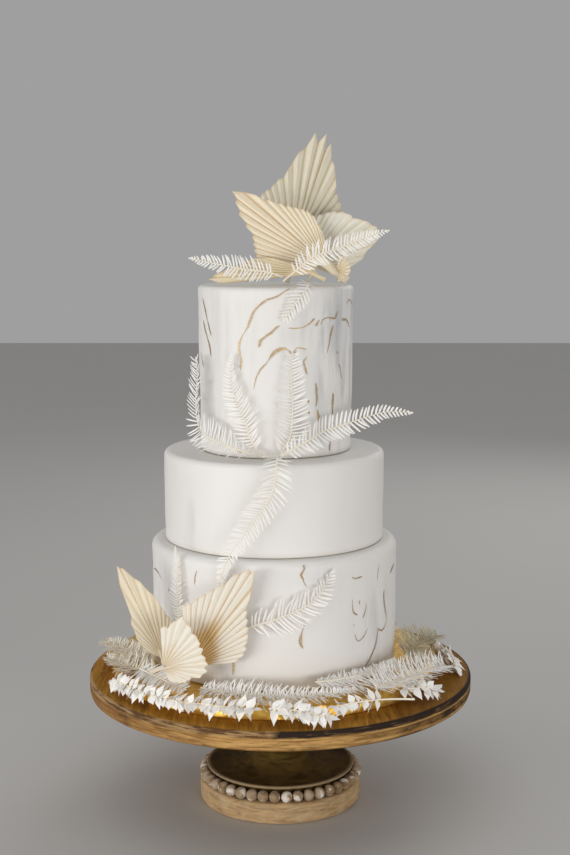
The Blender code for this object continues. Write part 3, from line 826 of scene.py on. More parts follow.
def veins(name, paths, centre_x, form, material):
    """Painted lines on a tier: each path is (tone, [(angle, height, width), ...])."""
    verts = []
    faces = []
    tones = []
    scale = look().vein_width
    for tone, stations in paths:
        line = []
        for near in neighbours(stations):
            for step in range(10):
                line.append([blend(values, step / 10) for values in zip(*near)])
        line.append(stations[-1])
        spots = []
        for index, (angle, height, width) in enumerate(line):
            waver = noise.noise(Vector((angle * 0.35, height * 0.35, 3)))
            ragged = noise.noise(Vector((angle * 0.9, height * 0.9, 9)))
            turn = math.radians(angle) + waver * 0.006
            radius = wall_radius(height, form) + 0.16
            point = Vector((centre_x + radius * math.sin(turn), -radius * math.cos(turn), height))
            out = heading(turn)
            end = min(1, min(index, len(line) - 1 - index) / 3)
            spots.append((point, out, max(width * scale * (1 + 0.45 * ragged), 0.12) * (0.15 + 0.85 * end)))
        start = len(verts)
        for index, (point, out, width) in enumerate(spots):
            before = spots[max(index - 1, 0)][0]
            after = spots[min(index + 1, len(spots) - 1)][0]
            side = out.cross((after - before).normalized()).normalized()
            for shift, lift in ((-0.5, 0), (0, 0.05), (0.5, 0)):
                verts.append((point + side * width * shift + out * lift) * MM)
            tones.extend([tone] * 3)
        for index in range(len(spots) - 1):
            for k in range(2):
                a = start + index * 3 + k
                faces.append((a, a + 3, a + 4, a + 1))
    obj = link_mesh(name, verts, faces)
    bm = bmesh.new()
    bm.from_mesh(obj.data)
    centre = Vector((centre_x * MM, 0, 0))
    for face in bm.faces:
        out = face.calc_center_median() - centre
        if face.normal.dot(Vector((out.x, out.y, 0))) < 0:
            face.normal_flip()
    bm.to_mesh(obj.data)
    bm.free()
    float_attribute(obj.data, "tone", tones)
    return finish_piece(obj, [], material)


def tier(name, centre_x, form, smudges, material):
    """One iced tier, with smudges of marbling and, in places, of painted shade: (angle, height, wide, tall,
    amount).
    """
    radius, foot_radius, bottom, top, edge = form
    profile = [(0, top), *rounded(radius, top, edge), (foot_radius, bottom + 1.2),
               (foot_radius - 0.9, bottom), (0, bottom)]
    profile = smooth_profile(profile, 4.5)

    def hand_smoothed(angle, r, z):
        sway = Vector((math.sin(angle) * 1.6, math.cos(angle) * 1.6, z * 0.02))
        push = noise.noise(sway) * 0.7 + noise.noise(sway * 3.1) * 0.25
        share = min(r / radius, 1)
        sunk = (0.35 * (1 - share) + abs(push) * 0.2) * (z > bottom + 2)
        return r + push * share - 0.35 * share, z - sunk

    obj, facts = turned(name + "_icing", profile, 224, centre_x, hand_smoothed)
    angles, radii, heights = facts.T
    smudge = np.zeros(len(facts))
    for angle, height, wide, tall, amount in smudges:
        far = (angles - angle + 180) % 360 - 180
        smudge += amount * np.exp(-(far / wide) ** 2 - ((heights - height) / tall) ** 2)
    smudge[radii < radius - edge - 2] *= 0.25
    float_attribute(obj.data, "smudge", np.clip(smudge, 0, 1))
    # Painted shade at the foot of the tier, in the crease where it sits on the part below; it fades out over
    # 1.8 mm.
    foot = np.clip(1 - (heights - bottom) / 1.8, 0, 1) * (radii > foot_radius - 3)
    float_attribute(obj.data, "foot_shade", foot * 0.55)
    return finish_piece(obj, [name], material)


def bead_string(material):
    """Round wooden beads, each slightly different, threaded round the foot."""
    chance = random.Random(7)
    verts = []
    faces = []
    tones = []
    rows = 12
    sides = 18
    for index in range(BEAD_COUNT):
        tone = chance.choice((0, 0.2, 0.4, 0.9))
        angle = math.tau * (index + 0.5 + chance.uniform(-0.06, 0.06)) / BEAD_COUNT
        out = heading(angle)
        along = Vector((math.cos(angle), math.sin(angle), 0))
        up = Vector((0, 0, 1))
        size = BEAD_RADIUS * chance.uniform(0.97, 1.04)
        roll = chance.uniform(-0.12, 0.12)
        along = (along + up * roll).normalized()
        up = out.cross(along).normalized()
        centre = out * BEAD_RING + Vector((0, 0, BEAD_CENTRE))
        previous = None
        for row in range(rows + 1):
            polar = math.pi * (0.07 + 0.86 * row / rows)
            ring = []
            for k in range(sides):
                turn = math.tau * k / sides
                point = centre + along * math.cos(polar) * size * 0.97
                point += (out * math.cos(turn) + up * math.sin(turn)) * math.sin(polar) * size
                ring.append(len(verts))
                verts.append(point * MM)
                tones.append(tone)
            if previous:
                for k in range(sides):
                    j = (k + 1) % sides
                    faces.append((previous[k], ring[k], ring[j], previous[j]))
            else:
                faces.append(tuple(ring))
            previous = ring
        faces.append(tuple(reversed(previous)))
    obj = link_mesh("beads", verts, faces, 40)
    face_outward(obj.data)
    float_attribute(obj.data, "tone", tones)
    return finish_piece(obj, ["bead_ring"], material)


class CAKE_OT_stand(bpy.types.Operator):
    """Build the wooden stand: base, beads, foot, column and plate"""
    bl_idname = "cake.stand"
    bl_label = "Stand"

    def execute(self, context):
        base_wood = turned_wood_material("base_wood", (0.61, 0.405, 0.205), (0.31, 0.2, 0.1),
                                         (0.55, 0.43, 0.27), 0.5, 0.7)
        foot_wood = turned_wood_material("foot_wood", (0.16, 0.1, 0.027), (0.05, 0.031, 0.01),
                                         (0.15, 0.095, 0.03), 0.2, 0.7, 0.08)
        column_wood = turned_wood_material("column_wood", (0.1, 0.062, 0.014), (0.04, 0.025, 0.006),
                                           (0.12, 0.08, 0.025), 0.2, 0.75, 0.02)
        bead_wood = turned_wood_material("bead_wood", (0.4, 0.27, 0.15), (0.19, 0.115, 0.058),
                                         (0.66, 0.56, 0.43), 0.5, 0.7, chips=0.8)
        obj, _ = turned("base_disc", smooth_profile([
            (0, BASE_TOP), (81, BASE_TOP), (83, 21), (84.4, 19.6), (BASE_RADIUS, 17.5), (BASE_RADIUS, 3),
            (84.4, 1.2), (83, 0.3), (81.5, 0), (0, 0),
        ], 9), 160)
        finish_piece(obj, ["stand_base"], base_wood)
        bead_string(bead_wood)
        obj, facts = turned("foot_dish", smooth_profile([
            (0, FOOT_TOP), (26.5, FOOT_TOP), (29, 44.4), (34, 42), (41, 39.8), (50, 38.2), (60, 37.2),
            (68, 36.9), (73.5, 37.2), (76.3, 37.6), (77.6, 37.2), (78, 36.4), (77.6, 35.2), (76.6, 34.8),
            (72, 34.6), (72, BASE_TOP + GAP), (0, BASE_TOP + GAP),
        ], 9), 144)
        float_attribute(obj.data, "lip", np.clip((facts[:, 1] - 74.4) / 1.6, 0, 1))
        finish_piece(obj, ["stand_foot"], foot_wood)
        obj, _ = turned("column", smooth_profile([
            (0, PLATE_UNDER - GAP), (29, PLATE_UNDER - GAP), (30, 118.6), (30, 116.5), (28.5, 115),
            (24, 112), (22.4, 104), (21.5, 92), (21.6, 80), (22.5, 68), (24, 59), (26, 53), (26.8, 49),
            (27, FOOT_TOP + GAP), (0, FOOT_TOP + GAP),
        ], 6), 96)
        finish_piece(obj, ["stand_column"], column_wood)
        obj, facts = turned("plate", smooth_profile([
            (0, PLATE_TOP), (196.4, PLATE_TOP), (198.2, 139.6), (199.3, 138.4), (PLATE_RADIUS, 136.6),
            (PLATE_RADIUS, 131.8), (199.1, 131.2), (198.8, 130.7), (199.4, 130.2), (PLATE_RADIUS, 129.4),
            (199.6, 124.6), (198.8, 121.8), (196.8, 120.4), (194, PLATE_UNDER), (0, PLATE_UNDER),
        ], 12), 256)
        float_attribute(obj.data, "rim", np.clip((facts[:, 1] - 196.6) / 1.6, 0, 1))
        finish_piece(obj, ["stand_top"], plate_material())
        return {"FINISHED"}


class CAKE_OT_board(bpy.types.Operator):
    """Build the foil covered board"""
    bl_idname = "cake.board"
    bl_label = "Board"

    def execute(self, context):
        def creased(angle, r, z):
            sway = Vector((math.sin(angle) * 9, math.cos(angle) * 9, z * 0.1))
            push = noise.noise(sway) * 0.35 * (r > BOARD_RADIUS - 2)
            return r - 0.3 + push, z

        obj, _ = turned("foil_board", smooth_profile([
            (0, BOARD_TOP), (168.2, BOARD_TOP), (169.4, 153.5), (BOARD_RADIUS, 152.6),
            (BOARD_RADIUS, 141.4), (169.2, PLATE_TOP + GAP), (0, PLATE_TOP + GAP),
        ], 8), 240, CAKE_X, creased)
        finish_piece(obj, ["cake_board"], foil_material())
        return {"FINISHED"}


TOP_SMUDGES_AND_SHADE = [
    (48, 500, 16, 60, 0.7), (62, 440, 14, 60, 0.8), (38, 450, 8, 50, 0.6), (27, 510, 10, 14, 0.45),
    (14, 495, 14, 12, 0.3), (-58, 470, 7, 60, 0.6), (-40, 400, 22, 22, 0.5), (-28, 474, 6, 12, 0.5),
    (30, 400, 24, 25, 0.5), (120, 470, 30, 60, 0.6), (165, 430, 18, 60, 0.7), (215, 500, 26, 40, 0.55),
    # The last entry below, at -38 degrees, is painted shade: a broad soft smudge that darkens the top tier's
    # left side.
    (255, 420, 20, 60, 0.6), (80, 520, 14, 30, 0.5), (-38, 480, 26, 75, 0.35),
]

MIDDLE_SMUDGES = [
    (-46.7, 306, 2.6, 15, 0.75), (-46.5, 324, 2.4, 12, 0.4), (-48.5, 292, 4, 8, 0.35),
    (150, 330, 30, 30, 0.3),
]

BOTTOM_SMUDGES_AND_SHADE = [
    # The entry at -26 degrees and 168 mm, at the foot behind the front palm, is partly a stain and partly
    # painted shadow of that palm.
    (46, 225, 10, 35, 0.35), (22, 268, 12, 12, 0.3), (-26, 168, 6, 10, 1), (60, 210, 8, 50, 0.35),
    (-62, 240, 10, 40, 0.4), (110, 220, 20, 45, 0.5), (170, 200, 24, 50, 0.5), (230, 230, 22, 45, 0.5),
]

TOP_VEINS = [
    (0.3, [
        (10.5, 541, 1.2), (6, 537.6, 1), (0.4, 533, 1.6), (-7.3, 529, 1.6), (-14.5, 520, 1.7),
        (-17.5, 512, 2), (-19.7, 504, 1.9), (-22, 499, 0.5), (-24.4, 494, 1), (-26.4, 486, 2.4),
        (-26, 476, 1.7), (-25.2, 470, 2), (-25.7, 461, 1.2),
    ]),
    (0.22, [
        (3.5, 505, 0.8), (1.1, 504, 1.4), (-2, 499.5, 2.2), (-7.4, 494, 1.8), (-10.5, 490, 2.6),
        (-11.7, 484, 1.2),
    ]),
    (0.42, [(9, 503, 0.8), (14, 502.5, 1.1), (19.8, 503.5, 0.9), (25, 507, 1.5), (29.1, 512, 1.6)]),
    (0.3, [(29.8, 504, 1.8), (31.2, 507, 2.4), (33, 510.5, 1)]),
    (0.5, [
        (34, 505, 0.9), (36, 510, 1), (40, 512, 1.1), (46.5, 511, 1.9), (48.5, 512, 2.2), (50.5, 518, 1.4),
    ]),
    (0.45, [(56.5, 508.5, 1.8), (60, 509, 2.4), (65, 507, 1.4), (70, 500, 0.8)]),
    (0.85, [(63, 524, 0.6), (67.5, 528, 1), (72, 526, 0.9), (77, 523, 0.5)]),
    (0.18, [
        (-15.6, 443, 0.8), (-13.5, 455, 1), (-9.6, 464, 1.4), (-6.7, 468, 0.9), (-4.6, 472, 0.7),
        (-1.6, 478, 3), (2, 481.5, 4), (5.6, 483, 2.8), (9.5, 481, 1), (12, 478, 1.6), (14.6, 476, 2.6),
    ]),
    (0.3, [(14.2, 477, 1.8), (14, 481, 0.8), (15.6, 483.5, 0.9), (19, 483, 1.4), (22.6, 481.8, 1.6)]),
    (0.55, [(23.6, 475, 0.7), (20.8, 470, 1.2), (22, 463, 1.8), (23.4, 457, 1)]),
    (0.38, [(46.2, 504, 1.4), (44.4, 498, 2.6), (43, 491, 1.6), (41.8, 484, 1), (40.4, 477, 0.7)]),
    (0.5, [(50.4, 478, 1.2), (52, 476, 2)]),
    (0.6, [(53, 466, 0.7), (55.3, 459, 1.3), (57.2, 449, 0.8)]),
    (0.6, [(30.6, 449, 1), (31.2, 440, 1.8), (31.6, 431, 1.4), (30.8, 425, 0.7)]),
    (0.5, [(32, 422, 1.4), (33.2, 414, 2.4), (34, 406, 1.6), (33.8, 401, 0.8)]),
    (0.48, [(47.2, 437, 2.6), (46.8, 429, 2.8), (46.6, 421, 2), (47.6, 413, 1.4), (48, 405, 0.8)]),
    (0.75, [(44.8, 389, 0.8), (44.2, 383, 2), (44, 379, 1.4)]),
    (0.7, [(72, 484, 0.5), (72.6, 465, 0.8), (73.4, 440, 0.7), (73.2, 424, 0.5)]),
    (0.85, [(-66.5, 530, 0.7), (-63, 521, 1.4), (-59.5, 510, 0.8), (-56, 500, 1.3), (-53.8, 493, 0.6)]),
    (0.8, [(-65.8, 508, 0.8), (-63, 499, 1.6), (-59, 490, 1.2), (-56, 482, 2), (-54.4, 472, 0.7)]),
    (0.75, [(-74, 475, 0.7), (-70, 467, 1.2), (-66.5, 460, 0.7)]),
    (0.6, [(24.6, 432, 2.2), (24.8, 429, 2)]),
    (0.6, [(24.8, 421, 1.8), (25, 418, 2)]),
    (0.7, [(-29, 381, 1.2), (-26, 379.5, 1.8)]),
]

BOTTOM_VEINS = [
    (0.72, [(12.9, 279, 2.2), (13.4, 275, 1.6), (12.2, 269.5, 2), (13, 264, 1.2), (14.4, 257, 0.6)]),
    (0.5, [(14, 222, 0.5), (12.6, 214, 0.9), (11.9, 206, 2.8), (12, 201, 2.6), (12.9, 196, 0.6)]),
    (0.72, [(37.2, 261.5, 1.2), (38.2, 260, 0.8), (40.2, 259.5, 1.6), (43.4, 260.5, 0.8)]),
    (0.6, [(37.3, 240, 0.5), (37.5, 230, 0.9), (38.6, 224.5, 1.7), (40.6, 222.5, 1.8)]),
    (0.62, [(45.8, 233, 0.4), (45.6, 225, 0.8), (43.6, 217, 0.8)]),
    (0.72, [(41.6, 237, 0.9), (41.7, 232.5, 1.2)]),
    (0.65, [(39.2, 204, 0.4), (40, 198, 0.9), (41.6, 195.5, 0.9), (44.6, 198.5, 0.7), (47.2, 206, 0.4)]),
    (0.55, [(55.8, 268, 0.4), (54.6, 260, 0.7), (54.2, 252, 0.5)]),
    (0.62, [
        (60.6, 239, 0.8), (60.6, 233, 1.7), (61.2, 224, 1.4), (62.6, 216, 1.4), (64, 208, 0.6),
        (62.6, 201, 0.8), (60.6, 198.2, 1.2), (58, 198, 1.6), (55.6, 201, 1.2), (55, 196, 0.9),
        (53.7, 187, 1.5), (51.6, 180, 1.9), (48.6, 173, 1.8), (46, 167, 0.8), (44.6, 163, 0.4),
    ]),
    (0.88, [(68, 252, 1.2), (71, 256, 1.8), (75, 259, 1)]),
    (0.8, [(-76, 253.5, 0.8), (-71, 254.5, 1.4), (-66.5, 253, 0.9), (-62.5, 248, 0.6)]),
    (0.75, [(-55.6, 243, 0.8), (-55.6, 239, 0.8)]),
    (0.7, [(-35.7, 269, 0.7), (-37, 262, 1.2), (-37.2, 254, 0.6)]),
    (0, [(-19.6, 182.5, 1.4), (-17.9, 182, 2.4), (-17.9, 176, 2), (-18.1, 169, 0.9)]),
    (0.55, [(31, 164, 0.5), (33, 162, 0.8)]),
    (0.4, [(38.4, 214, 0.8), (38.6, 212, 0.9)]),
    (0.45, [(39.4, 166, 1), (39.8, 163.5, 1)]),
    (0.05, [(84.5, 270, 1.2), (86, 264, 2.6), (85.4, 258, 1.2)]),
    (0.05, [(87, 233, 1.2), (87.6, 229, 2.6), (87, 225, 1)]),
    (0.05, [(87.2, 219, 1), (87.6, 216, 2.4), (87, 213, 0.8)]),
]


def scattered_veins(seed, count, angles, heights):
    """Painted lines for the side that the front view doesn't show, wandering downwards."""
    chance = random.Random(seed)
    paths = []
    for _ in range(count):
        angle = chance.uniform(*angles)
        height = chance.uniform(*heights)
        drift = chance.uniform(-1, 1)
        line = []
        for step in range(chance.randint(5, 10)):
            width = chance.choice((0.6, 0.9, 1.4, 2)) if step else 0.6
            line.append((angle, height, width))
            drift = max(-1, min(1, drift * 0.6 + chance.uniform(-0.8, 0.8)))
            angle += drift * 3.2
            height -= chance.uniform(2.5, 8)
            if height < heights[0] - 20:
                break
        paths.append((chance.uniform(0.15, 0.65), line))
    return paths


class CAKE_OT_tiers(bpy.types.Operator):
    """Build the three iced tiers with their marbling, painted veins and some painted shade"""
    bl_idname = "cake.tiers"
    bl_label = "Tiers"

    def execute(self, context):
        marbled = fondant_material("fondant_marbled")
        paint = vein_material()
        tier("tier_bottom", CAKE_X, BOTTOM_FORM, BOTTOM_SMUDGES_AND_SHADE, marbled)
        tier("tier_middle", CAKE_X, MIDDLE_FORM, MIDDLE_SMUDGES, marbled)
        tier("tier_top", TOP_X, TOP_FORM, TOP_SMUDGES_AND_SHADE, marbled)
        top_paths = TOP_VEINS + scattered_veins(3, 22, (95, 272), (410, 532))
        bottom_paths = BOTTOM_VEINS + scattered_veins(5, 18, (92, 275), (195, 272))
        veins("veins_top", top_paths, TOP_X, TOP_FORM, paint)
        veins("veins_bottom", bottom_paths, CAKE_X, BOTTOM_FORM, paint)
        return {"FINISHED"}


class CAKE_OT_palms(bpy.types.Operator):
    """Build the pleated palm leaves on top and beside the bottom tier"""
    bl_idname = "cake.palms"
    bl_label = "Palm Leaves"

    def execute(self, context):
        cream = look().palm_colour
        valley = (0.5, 0.27, 0.085)
        warm = palm_material("palm_cream", cream, valley, 0)
        plain = palm_material("palm_plain", tinted(cream, (1.02, 1.02, 1.02)), (0.6, 0.37, 0.12), 0.5)
        # The tall leaf's cream is cooled towards white and darkened as painted shade for its deeper pleat
        # shadows.
        white = palm_material("palm_pale_shaded", tinted(cream, (0.84, 0.87, 0.91)), (0.36, 0.29, 0.12), 0.1)
        light = palm_material("palm_light", tinted(cream, (1.02, 1.07, 1.2)), (0.62, 0.38, 0.12), 0.5)
        cool = palm_material("palm_cool", tinted(cream, (0.93, 1, 1.14)), (0.52, 0.36, 0.13), 0.4)
        tan = palm_material("palm_tan", tinted(cream, (0.97, 1.02, 1.15)), (0.5, 0.25, 0.035), 0)
        gilt = palm_material("palm_gilt", tinted(cream, (0.95, 0.92, 0.85)), (0.52, 0.33, 0.09), 0)
        palm("palm_tall", (11, 12, 572), [
            (-29, 68), (-20, 70), (-12.7, 75), (-2.8, 84), (1.8, 98), (8.7, 115), (11.5, 126.5),
            (13.4, 122), (16.6, 128.5), (18.6, 119), (20, 121), (27.6, 97), (35.7, 80), (50, 68), (60, 60),
        ], 15, (7, 12, 543.4), 2.6, white, lean=2, slits=((14, 0.02), (18.6, 0.06)), depth=0.34)
        palm("palm_left", (42, -22, 566), [
            (-109, 49), (-94, 58), (-83.4, 69), (-75.8, 72), (-68.5, 76), (-67.4, 83), (-62.9, 88),
            (-61, 95), (-56, 105), (-52.4, 115), (-49.8, 112), (-47.4, 106), (-45.4, 94), (-40.4, 79),
            (-34.4, 69), (-24.4, 58), (-12.7, 50), (-5, 36), (2, 27),
        ], 22, (67, -24, 546.6), 4.4, warm, yaw=6, lean=4, far=24, axis=-50, taper=0.1,
        depth=0.27, notch=0.035)
        palm("palm_right", (32, -6, 564), [
            (5, 48), (20, 55), (31, 60), (45, 64), (56, 72), (61, 76), (67, 76), (73, 71), (76, 59),
            (81, 56), (88, 50), (94, 42), (104, 38), (112, 33),
        ], 14, (27, -4, 543.8), 2.4, cool, yaw=-6, far=20, axis=60)
        palm("palm_small", (56, -33, 556), [
            (8, 15), (36, 17), (64, 15), (92, 14), (112, 12),
        ], 6, (58, -34, 546), 1.3, warm, stain=0.3)
        palm("palm_low", (40, -34, 554.5), [
            (-96, 104), (-93, 112), (-88, 96), (-84, 80), (-80, 76), (-72, 50),
        ], 7, (45, -35, 548), 2.2, gilt, yaw=1.5, lean=2, stain=0.15)
        palm("palm_back", (-114, -92, 176), [
            (-62, 18), (-55.4, 28.7), (-50.1, 37.2), (-43.3, 44.4), (-40.8, 52.5), (-35.3, 57.5),
            (-34, 64.7), (-31.4, 72.1), (-29.8, 84.8), (-28.9, 96.5), (-27.4, 104), (-25.2, 111.3),
            (-23.8, 107.7), (-20.9, 100), (-19.5, 93), (-17.8, 88.7), (-15.3, 84), (-14, 76.3), (-11.6, 72),
            (-9.5, 69.8), (-7.1, 62.4), (-4.7, 57.3), (-0.9, 51.2), (1.4, 47.5), (6, 44), (12, 38),
        ], 14, (-110, -98, 156.4), 2.6, plain, yaw=12, lean=-4, notch=0.015, stain=0.2, depth=0.17)
        palm("palm_mid", (-88, -122, 178), [
            (-6, 62), (3.8, 66.6), (9.9, 73), (16.1, 81.6), (20.6, 89.6), (23.9, 97.6), (26.2, 107.7),
            (28.8, 115.2), (31.2, 120.2), (34.1, 121.5), (35.8, 116.9), (37.8, 105.9), (38.6, 100),
            (41.3, 94.2), (42.7, 87.9), (45.7, 82.5), (50.3, 77.8), (56.2, 73.2), (61.5, 68.4),
            (67.2, 63.5), (72.1, 59.9), (76, 56), (82, 44),
        ], 18, (-92, -117, 156.4), 2.6, tan, yaw=-12, lean=-3, stain=1.9, depth=0.21)
        palm("palm_front", (-112, -134, 181), [
            (-2, 43), (4, 44), (8.3, 44.7), (12.5, 48.7), (17.7, 54.4), (21.3, 59.2), (24.5, 57),
            (28.4, 54.7), (31.7, 53), (35.4, 52), (42.7, 49.1), (48.3, 48.3), (55.5, 45.9), (61.6, 46.1),
            (70.4, 43.8), (76.1, 44.4), (83, 44.7), (88.4, 42.8), (92.5, 43.6), (99.9, 42.1), (105.1, 36.8),
            (107.2, 30.1), (115.4, 28.4), (127.1, 25.8), (146.1, 19.3), (160, 15),
        ], 16, (-125, -133, 176), 1.8, light, yaw=-8, lean=-8, notch=0.05, stain=0.35, depth=0.16)
        return {"FINISHED"}


class CAKE_OT_ferns(bpy.types.Operator):
    """Build the bleached fern fronds"""
    bl_idname = "cake.ferns"
    bl_label = "Fern Fronds"

    def execute(self, context):
        pale = look().fern_colour
        white = frond_material("fern_white", pale, tinted(pale, (0.93, 0.9, 0.84)))
        shade = frond_material("fern_shaded", tinted(pale, (0.92, 0.86, 0.75)),
                               tinted(pale, (0.78, 0.72, 0.6)))
        # A darker olive copy for the frond on the right of the board: the leaf is brownish, and the copy is
        # also darkened as painted shade for the cake's shadow on it.
        olive = frond_material("fern_olive_shaded", tinted(pale, (0.66, 0.61, 0.46)),
                               tinted(pale, (0.5, 0.45, 0.31)))
        fern("fern_top_left", course(
            facing, (2, -42, 551), (-13, -44, 556), (-37, -46, 559), (-58, -46, 563), (-74, -44, 566),
            (-88, -42, 569),
        ), 15, 25, white, loose=0.14)
        fern("fern_top_right", course(
            facing, (3, -52, 547), (19, -50, 560), (33, -48, 571), (54, -46, 578), (75, -42, 586),
            (95, -40, 593), (106, -38, 596),
        ), 15.5, 31, white, bare=0.12, loose=0.14)
        fern("fern_rim", course(
            around, (32, 62, 543.6, 0.9, TOP_X), (25, 76, 545, 0.7, TOP_X), (21, 82.5, 540, 0.3, TOP_X),
            (13, 82.5, 525, 0, TOP_X), (6, 82.5, 511, 0, TOP_X),
        ), 14, 14, white, sweep=0.5, tail=0.6)
        fern("fern_side_left", course(
            around, (-3, 87, 378, 0.8), (-14, 92, 381, 0.75), (-27, 94, 387, 0.6), (-38, 93, 392, 0.45),
            (-48, 91, 397, 0.25), (-56, 89, 402, 0.1), (-59.5, 89, 413), (-60.5, 89, 426), (-59.5, 89, 440),
            (-58, 89, 453), (-60, 89, 470),
        ), 20, 48, white, bare=0.03, tail=0.5, loose=0.14)
        fern("fern_up_left", course(
            around, (-6, 82, 376), (-12, 82, 386), (-17, 82, 398), (-20, 82, 413), (-25, 82, 428),
            (-30, 82, 447), (-30.5, 82.5, 462), (-29.5, 83, 476),
        ), 17, 30, white, bare=0.1)
        fern("fern_up_right", course(
            around, (4, 82, 376), (8, 82, 387), (12, 82, 400), (13, 82, 426), (12.5, 82.5, 450),
            (12, 83, 464), (12.5, 83, 479),
        ), 19, 31, white, bare=0.05, sweep=0.2, tail=0.6)
        fern("fern_side_right", [
            around(3, 92, 377.5, 0.2), around(12, 92, 386), around(24, 92, 396), facing(45, -72, 402),
            facing(66, -66, 408), facing(85, -60, 413.5), facing(106, -54, 418), facing(130, -48, 416.5),
        ], 17, 33, white, bare=0.06)
        fern("fern_trailing", course(
            around, (2, 93, 375.6, 0.9), (3.5, 103, 380, 0.9), (2, 114, 381, 0.7), (1.5, 121, 373, 0.2),
            (1, 122, 360), (-1.5, 122, 344), (-8, 122, 324), (-13, 126, 308), (-17, 132, 294),
            (-19.5, 135, 282), (-21.5, 134, 268), (-23.5, 132, 252),
        ), 19, 50, white, bare=0.05, loose=0.16)
        fern("fern_behind_palms", course(
            around, (-45, 131, 204), (-45.3, 131, 221), (-46, 131, 240), (-45.6, 131, 270),
            (-45.6, 134, 290),
        ), 12, 28, white)
        fern("fern_bottom_front", course(
            around, (-14, 131, 214), (-8, 131, 221), (3, 131, 229), (14, 131, 240), (21, 131, 253),
            (26, 131, 272),
        ), 22, 27, white, sweep=0.4, loose=0.22)
        fern("fern_board_left", course(
            lying, (-130, -62, 162), (-148, -36, 163), (-166, -6, 161), (-188, 28, 157),
        ), 19, 30, shade, bare=0, tail=0.7, rows=3, loose=0.36, outer=1.4, pile=0.3, slim=0.32)
        fern("fern_board_low", course(
            lying, (-124, -84, 159), (-142, -72, 158), (-161, -50, 157), (-182, -12, 152),
        ), 17, 29, shade, bare=0, tail=0.7, rows=3, loose=0.36, inner=1.3, pile=0.25, slim=0.32)
        fern("fern_board_comb", course(
            lying, (-139, -91, 165.5), (-123, -107, 163.5), (-106, -125, 161.5), (-91, -139, 160),
        ), 17, 23, white, bare=0, slim=0.42, tail=0.6, outer=1.35)
        fern("fern_board_front", course(
            lying, (-76, -134, 160), (-60, -144, 160), (-36, -153, 160), (5, -160, 160), (48, -156, 161.5),
            (72, -145, 163),
        ), 19, 60, white, bare=0, lift=0.1, rows=3, loose=0.32, outer=1.35, pile=0.2)
        fern("fern_board_needles", course(
            lying, (34, -141, 168), (54, -134, 168), (80, -117, 168), (99, -92, 167.5), (115, -62, 167),
        ), 19, 48, white, bare=0, sweep=0.6, lift=-0.2, rows=3, loose=0.25, inner=0.75, outer=1.7,
        pile=0.1)
        fern("fern_board_right", course(
            lying, (91, -141, 161.5), (106, -126, 162), (128, -102, 161), (150, -78, 161), (168, -58, 158),
        ), 22, 42, white, bare=0, tail=0.35, lift=0.22, rows=3, loose=0.28, inner=1.35, pile=0.08)
        fern("fern_board_curved", course(
            lying, (131, -42, 161), (137, -18, 162), (147, 6, 162), (159, 26, 161), (171, 44, 158),
        ), 24, 38, olive, bare=0, tail=0.6, rows=3, lift=0.3, loose=0.2, inner=1.3)
        fern("fern_back_right", course(
            around, (112, 146, 160, 0.75), (126, 147, 160, 0.75), (140, 148, 160, 0.75),
            (152, 152, 160, 0.75),
        ), 14, 30, white, rows=2)
        fern("fern_back_middle", course(
            around, (154, 144, 165, 0.75), (170, 145, 165, 0.75), (186, 147, 164, 0.75),
            (200, 152, 162, 0.75),
        ), 14, 32, white, rows=2)
        fern("fern_back_left", course(
            around, (201, 144, 167, 0.75), (216, 145, 166, 0.75), (232, 147, 165, 0.75),
            (246, 152, 164, 0.75),
        ), 14, 32, white, rows=2)
        return {"FINISHED"}


class CAKE_OT_sprigs(bpy.types.Operator):
    """Build the sprigs of small oval leaves in the garland"""
    bl_idname = "cake.sprigs"
    bl_label = "Leaf Sprigs"

    def execute(self, context):
        pale = look().fern_colour
        leaf = frond_material("sprig_white", [c * 1.05 for c in pale], tinted(pale, (1, 0.97, 0.91)))
        sprig("sprig_left", course(
            lying, (-167, -78, 151, 0.6), (-158, -95, 152, 0.5), (-145, -116, 154, 0.4),
            (-127, -138, 155, 0.2), (-104, -157, 155.5, 0.1), (-75, -170, 156, 0.1), (-46, -179, 156, 0.1),
            (-26, -184, 156, 0.1),
        ), 11, 8.6, 42, leaf)
        sprig("sprig_front", course(
            lying, (-10, -183, 156, 0.1), (8, -185, 155.5, 0.1), (24, -187, 154, 0.2), (44, -188, 150, 0.4),
        ), 12.5, 8.4, 15, leaf, outer=-0.6)
        sprig("sprig_right", course(
            lying, (128, -155, 155.5, 0.1), (109, -154.5, 155.5, 0.1), (88, -158, 155.5, 0.1),
            (68, -166, 155.5, 0.1), (53, -175, 155.5, 0.1),
        ), 11, 7, 9, leaf, inner=0.25, outer=-0.9, bare=0.4)
        sprig("sprig_right_end", course(
            lying, (119, -124, 156, 0.1), (131, -124, 156, 0.1), (141, -119, 155, 0.3),
            (152, -113, 151, 0.4),
        ), 12, 8.5, 11, leaf, inner=0.3)
        sprig("sprig_far_right", course(
            lying, (164, 2, 155.5, 0.1), (170, -8, 155.5, 0.1), (176, -20, 154, 0.2), (181, -34, 150, 0.3),
        ), 14.5, 9, 19, leaf, inner=1.2, outer=-0.7)
        sprig("sprig_back_right", course(
            around, (128, 172, 156, 0.9), (140, 176, 156, 0.9), (152, 174, 156, 0.9),
        ), 13, 8, 10, leaf)
        sprig("sprig_back_left", course(
            around, (200, 176, 156, 0.9), (213, 178, 156, 0.9), (226, 174, 156, 0.9),
        ), 13, 8, 10, leaf)
        return {"FINISHED"}


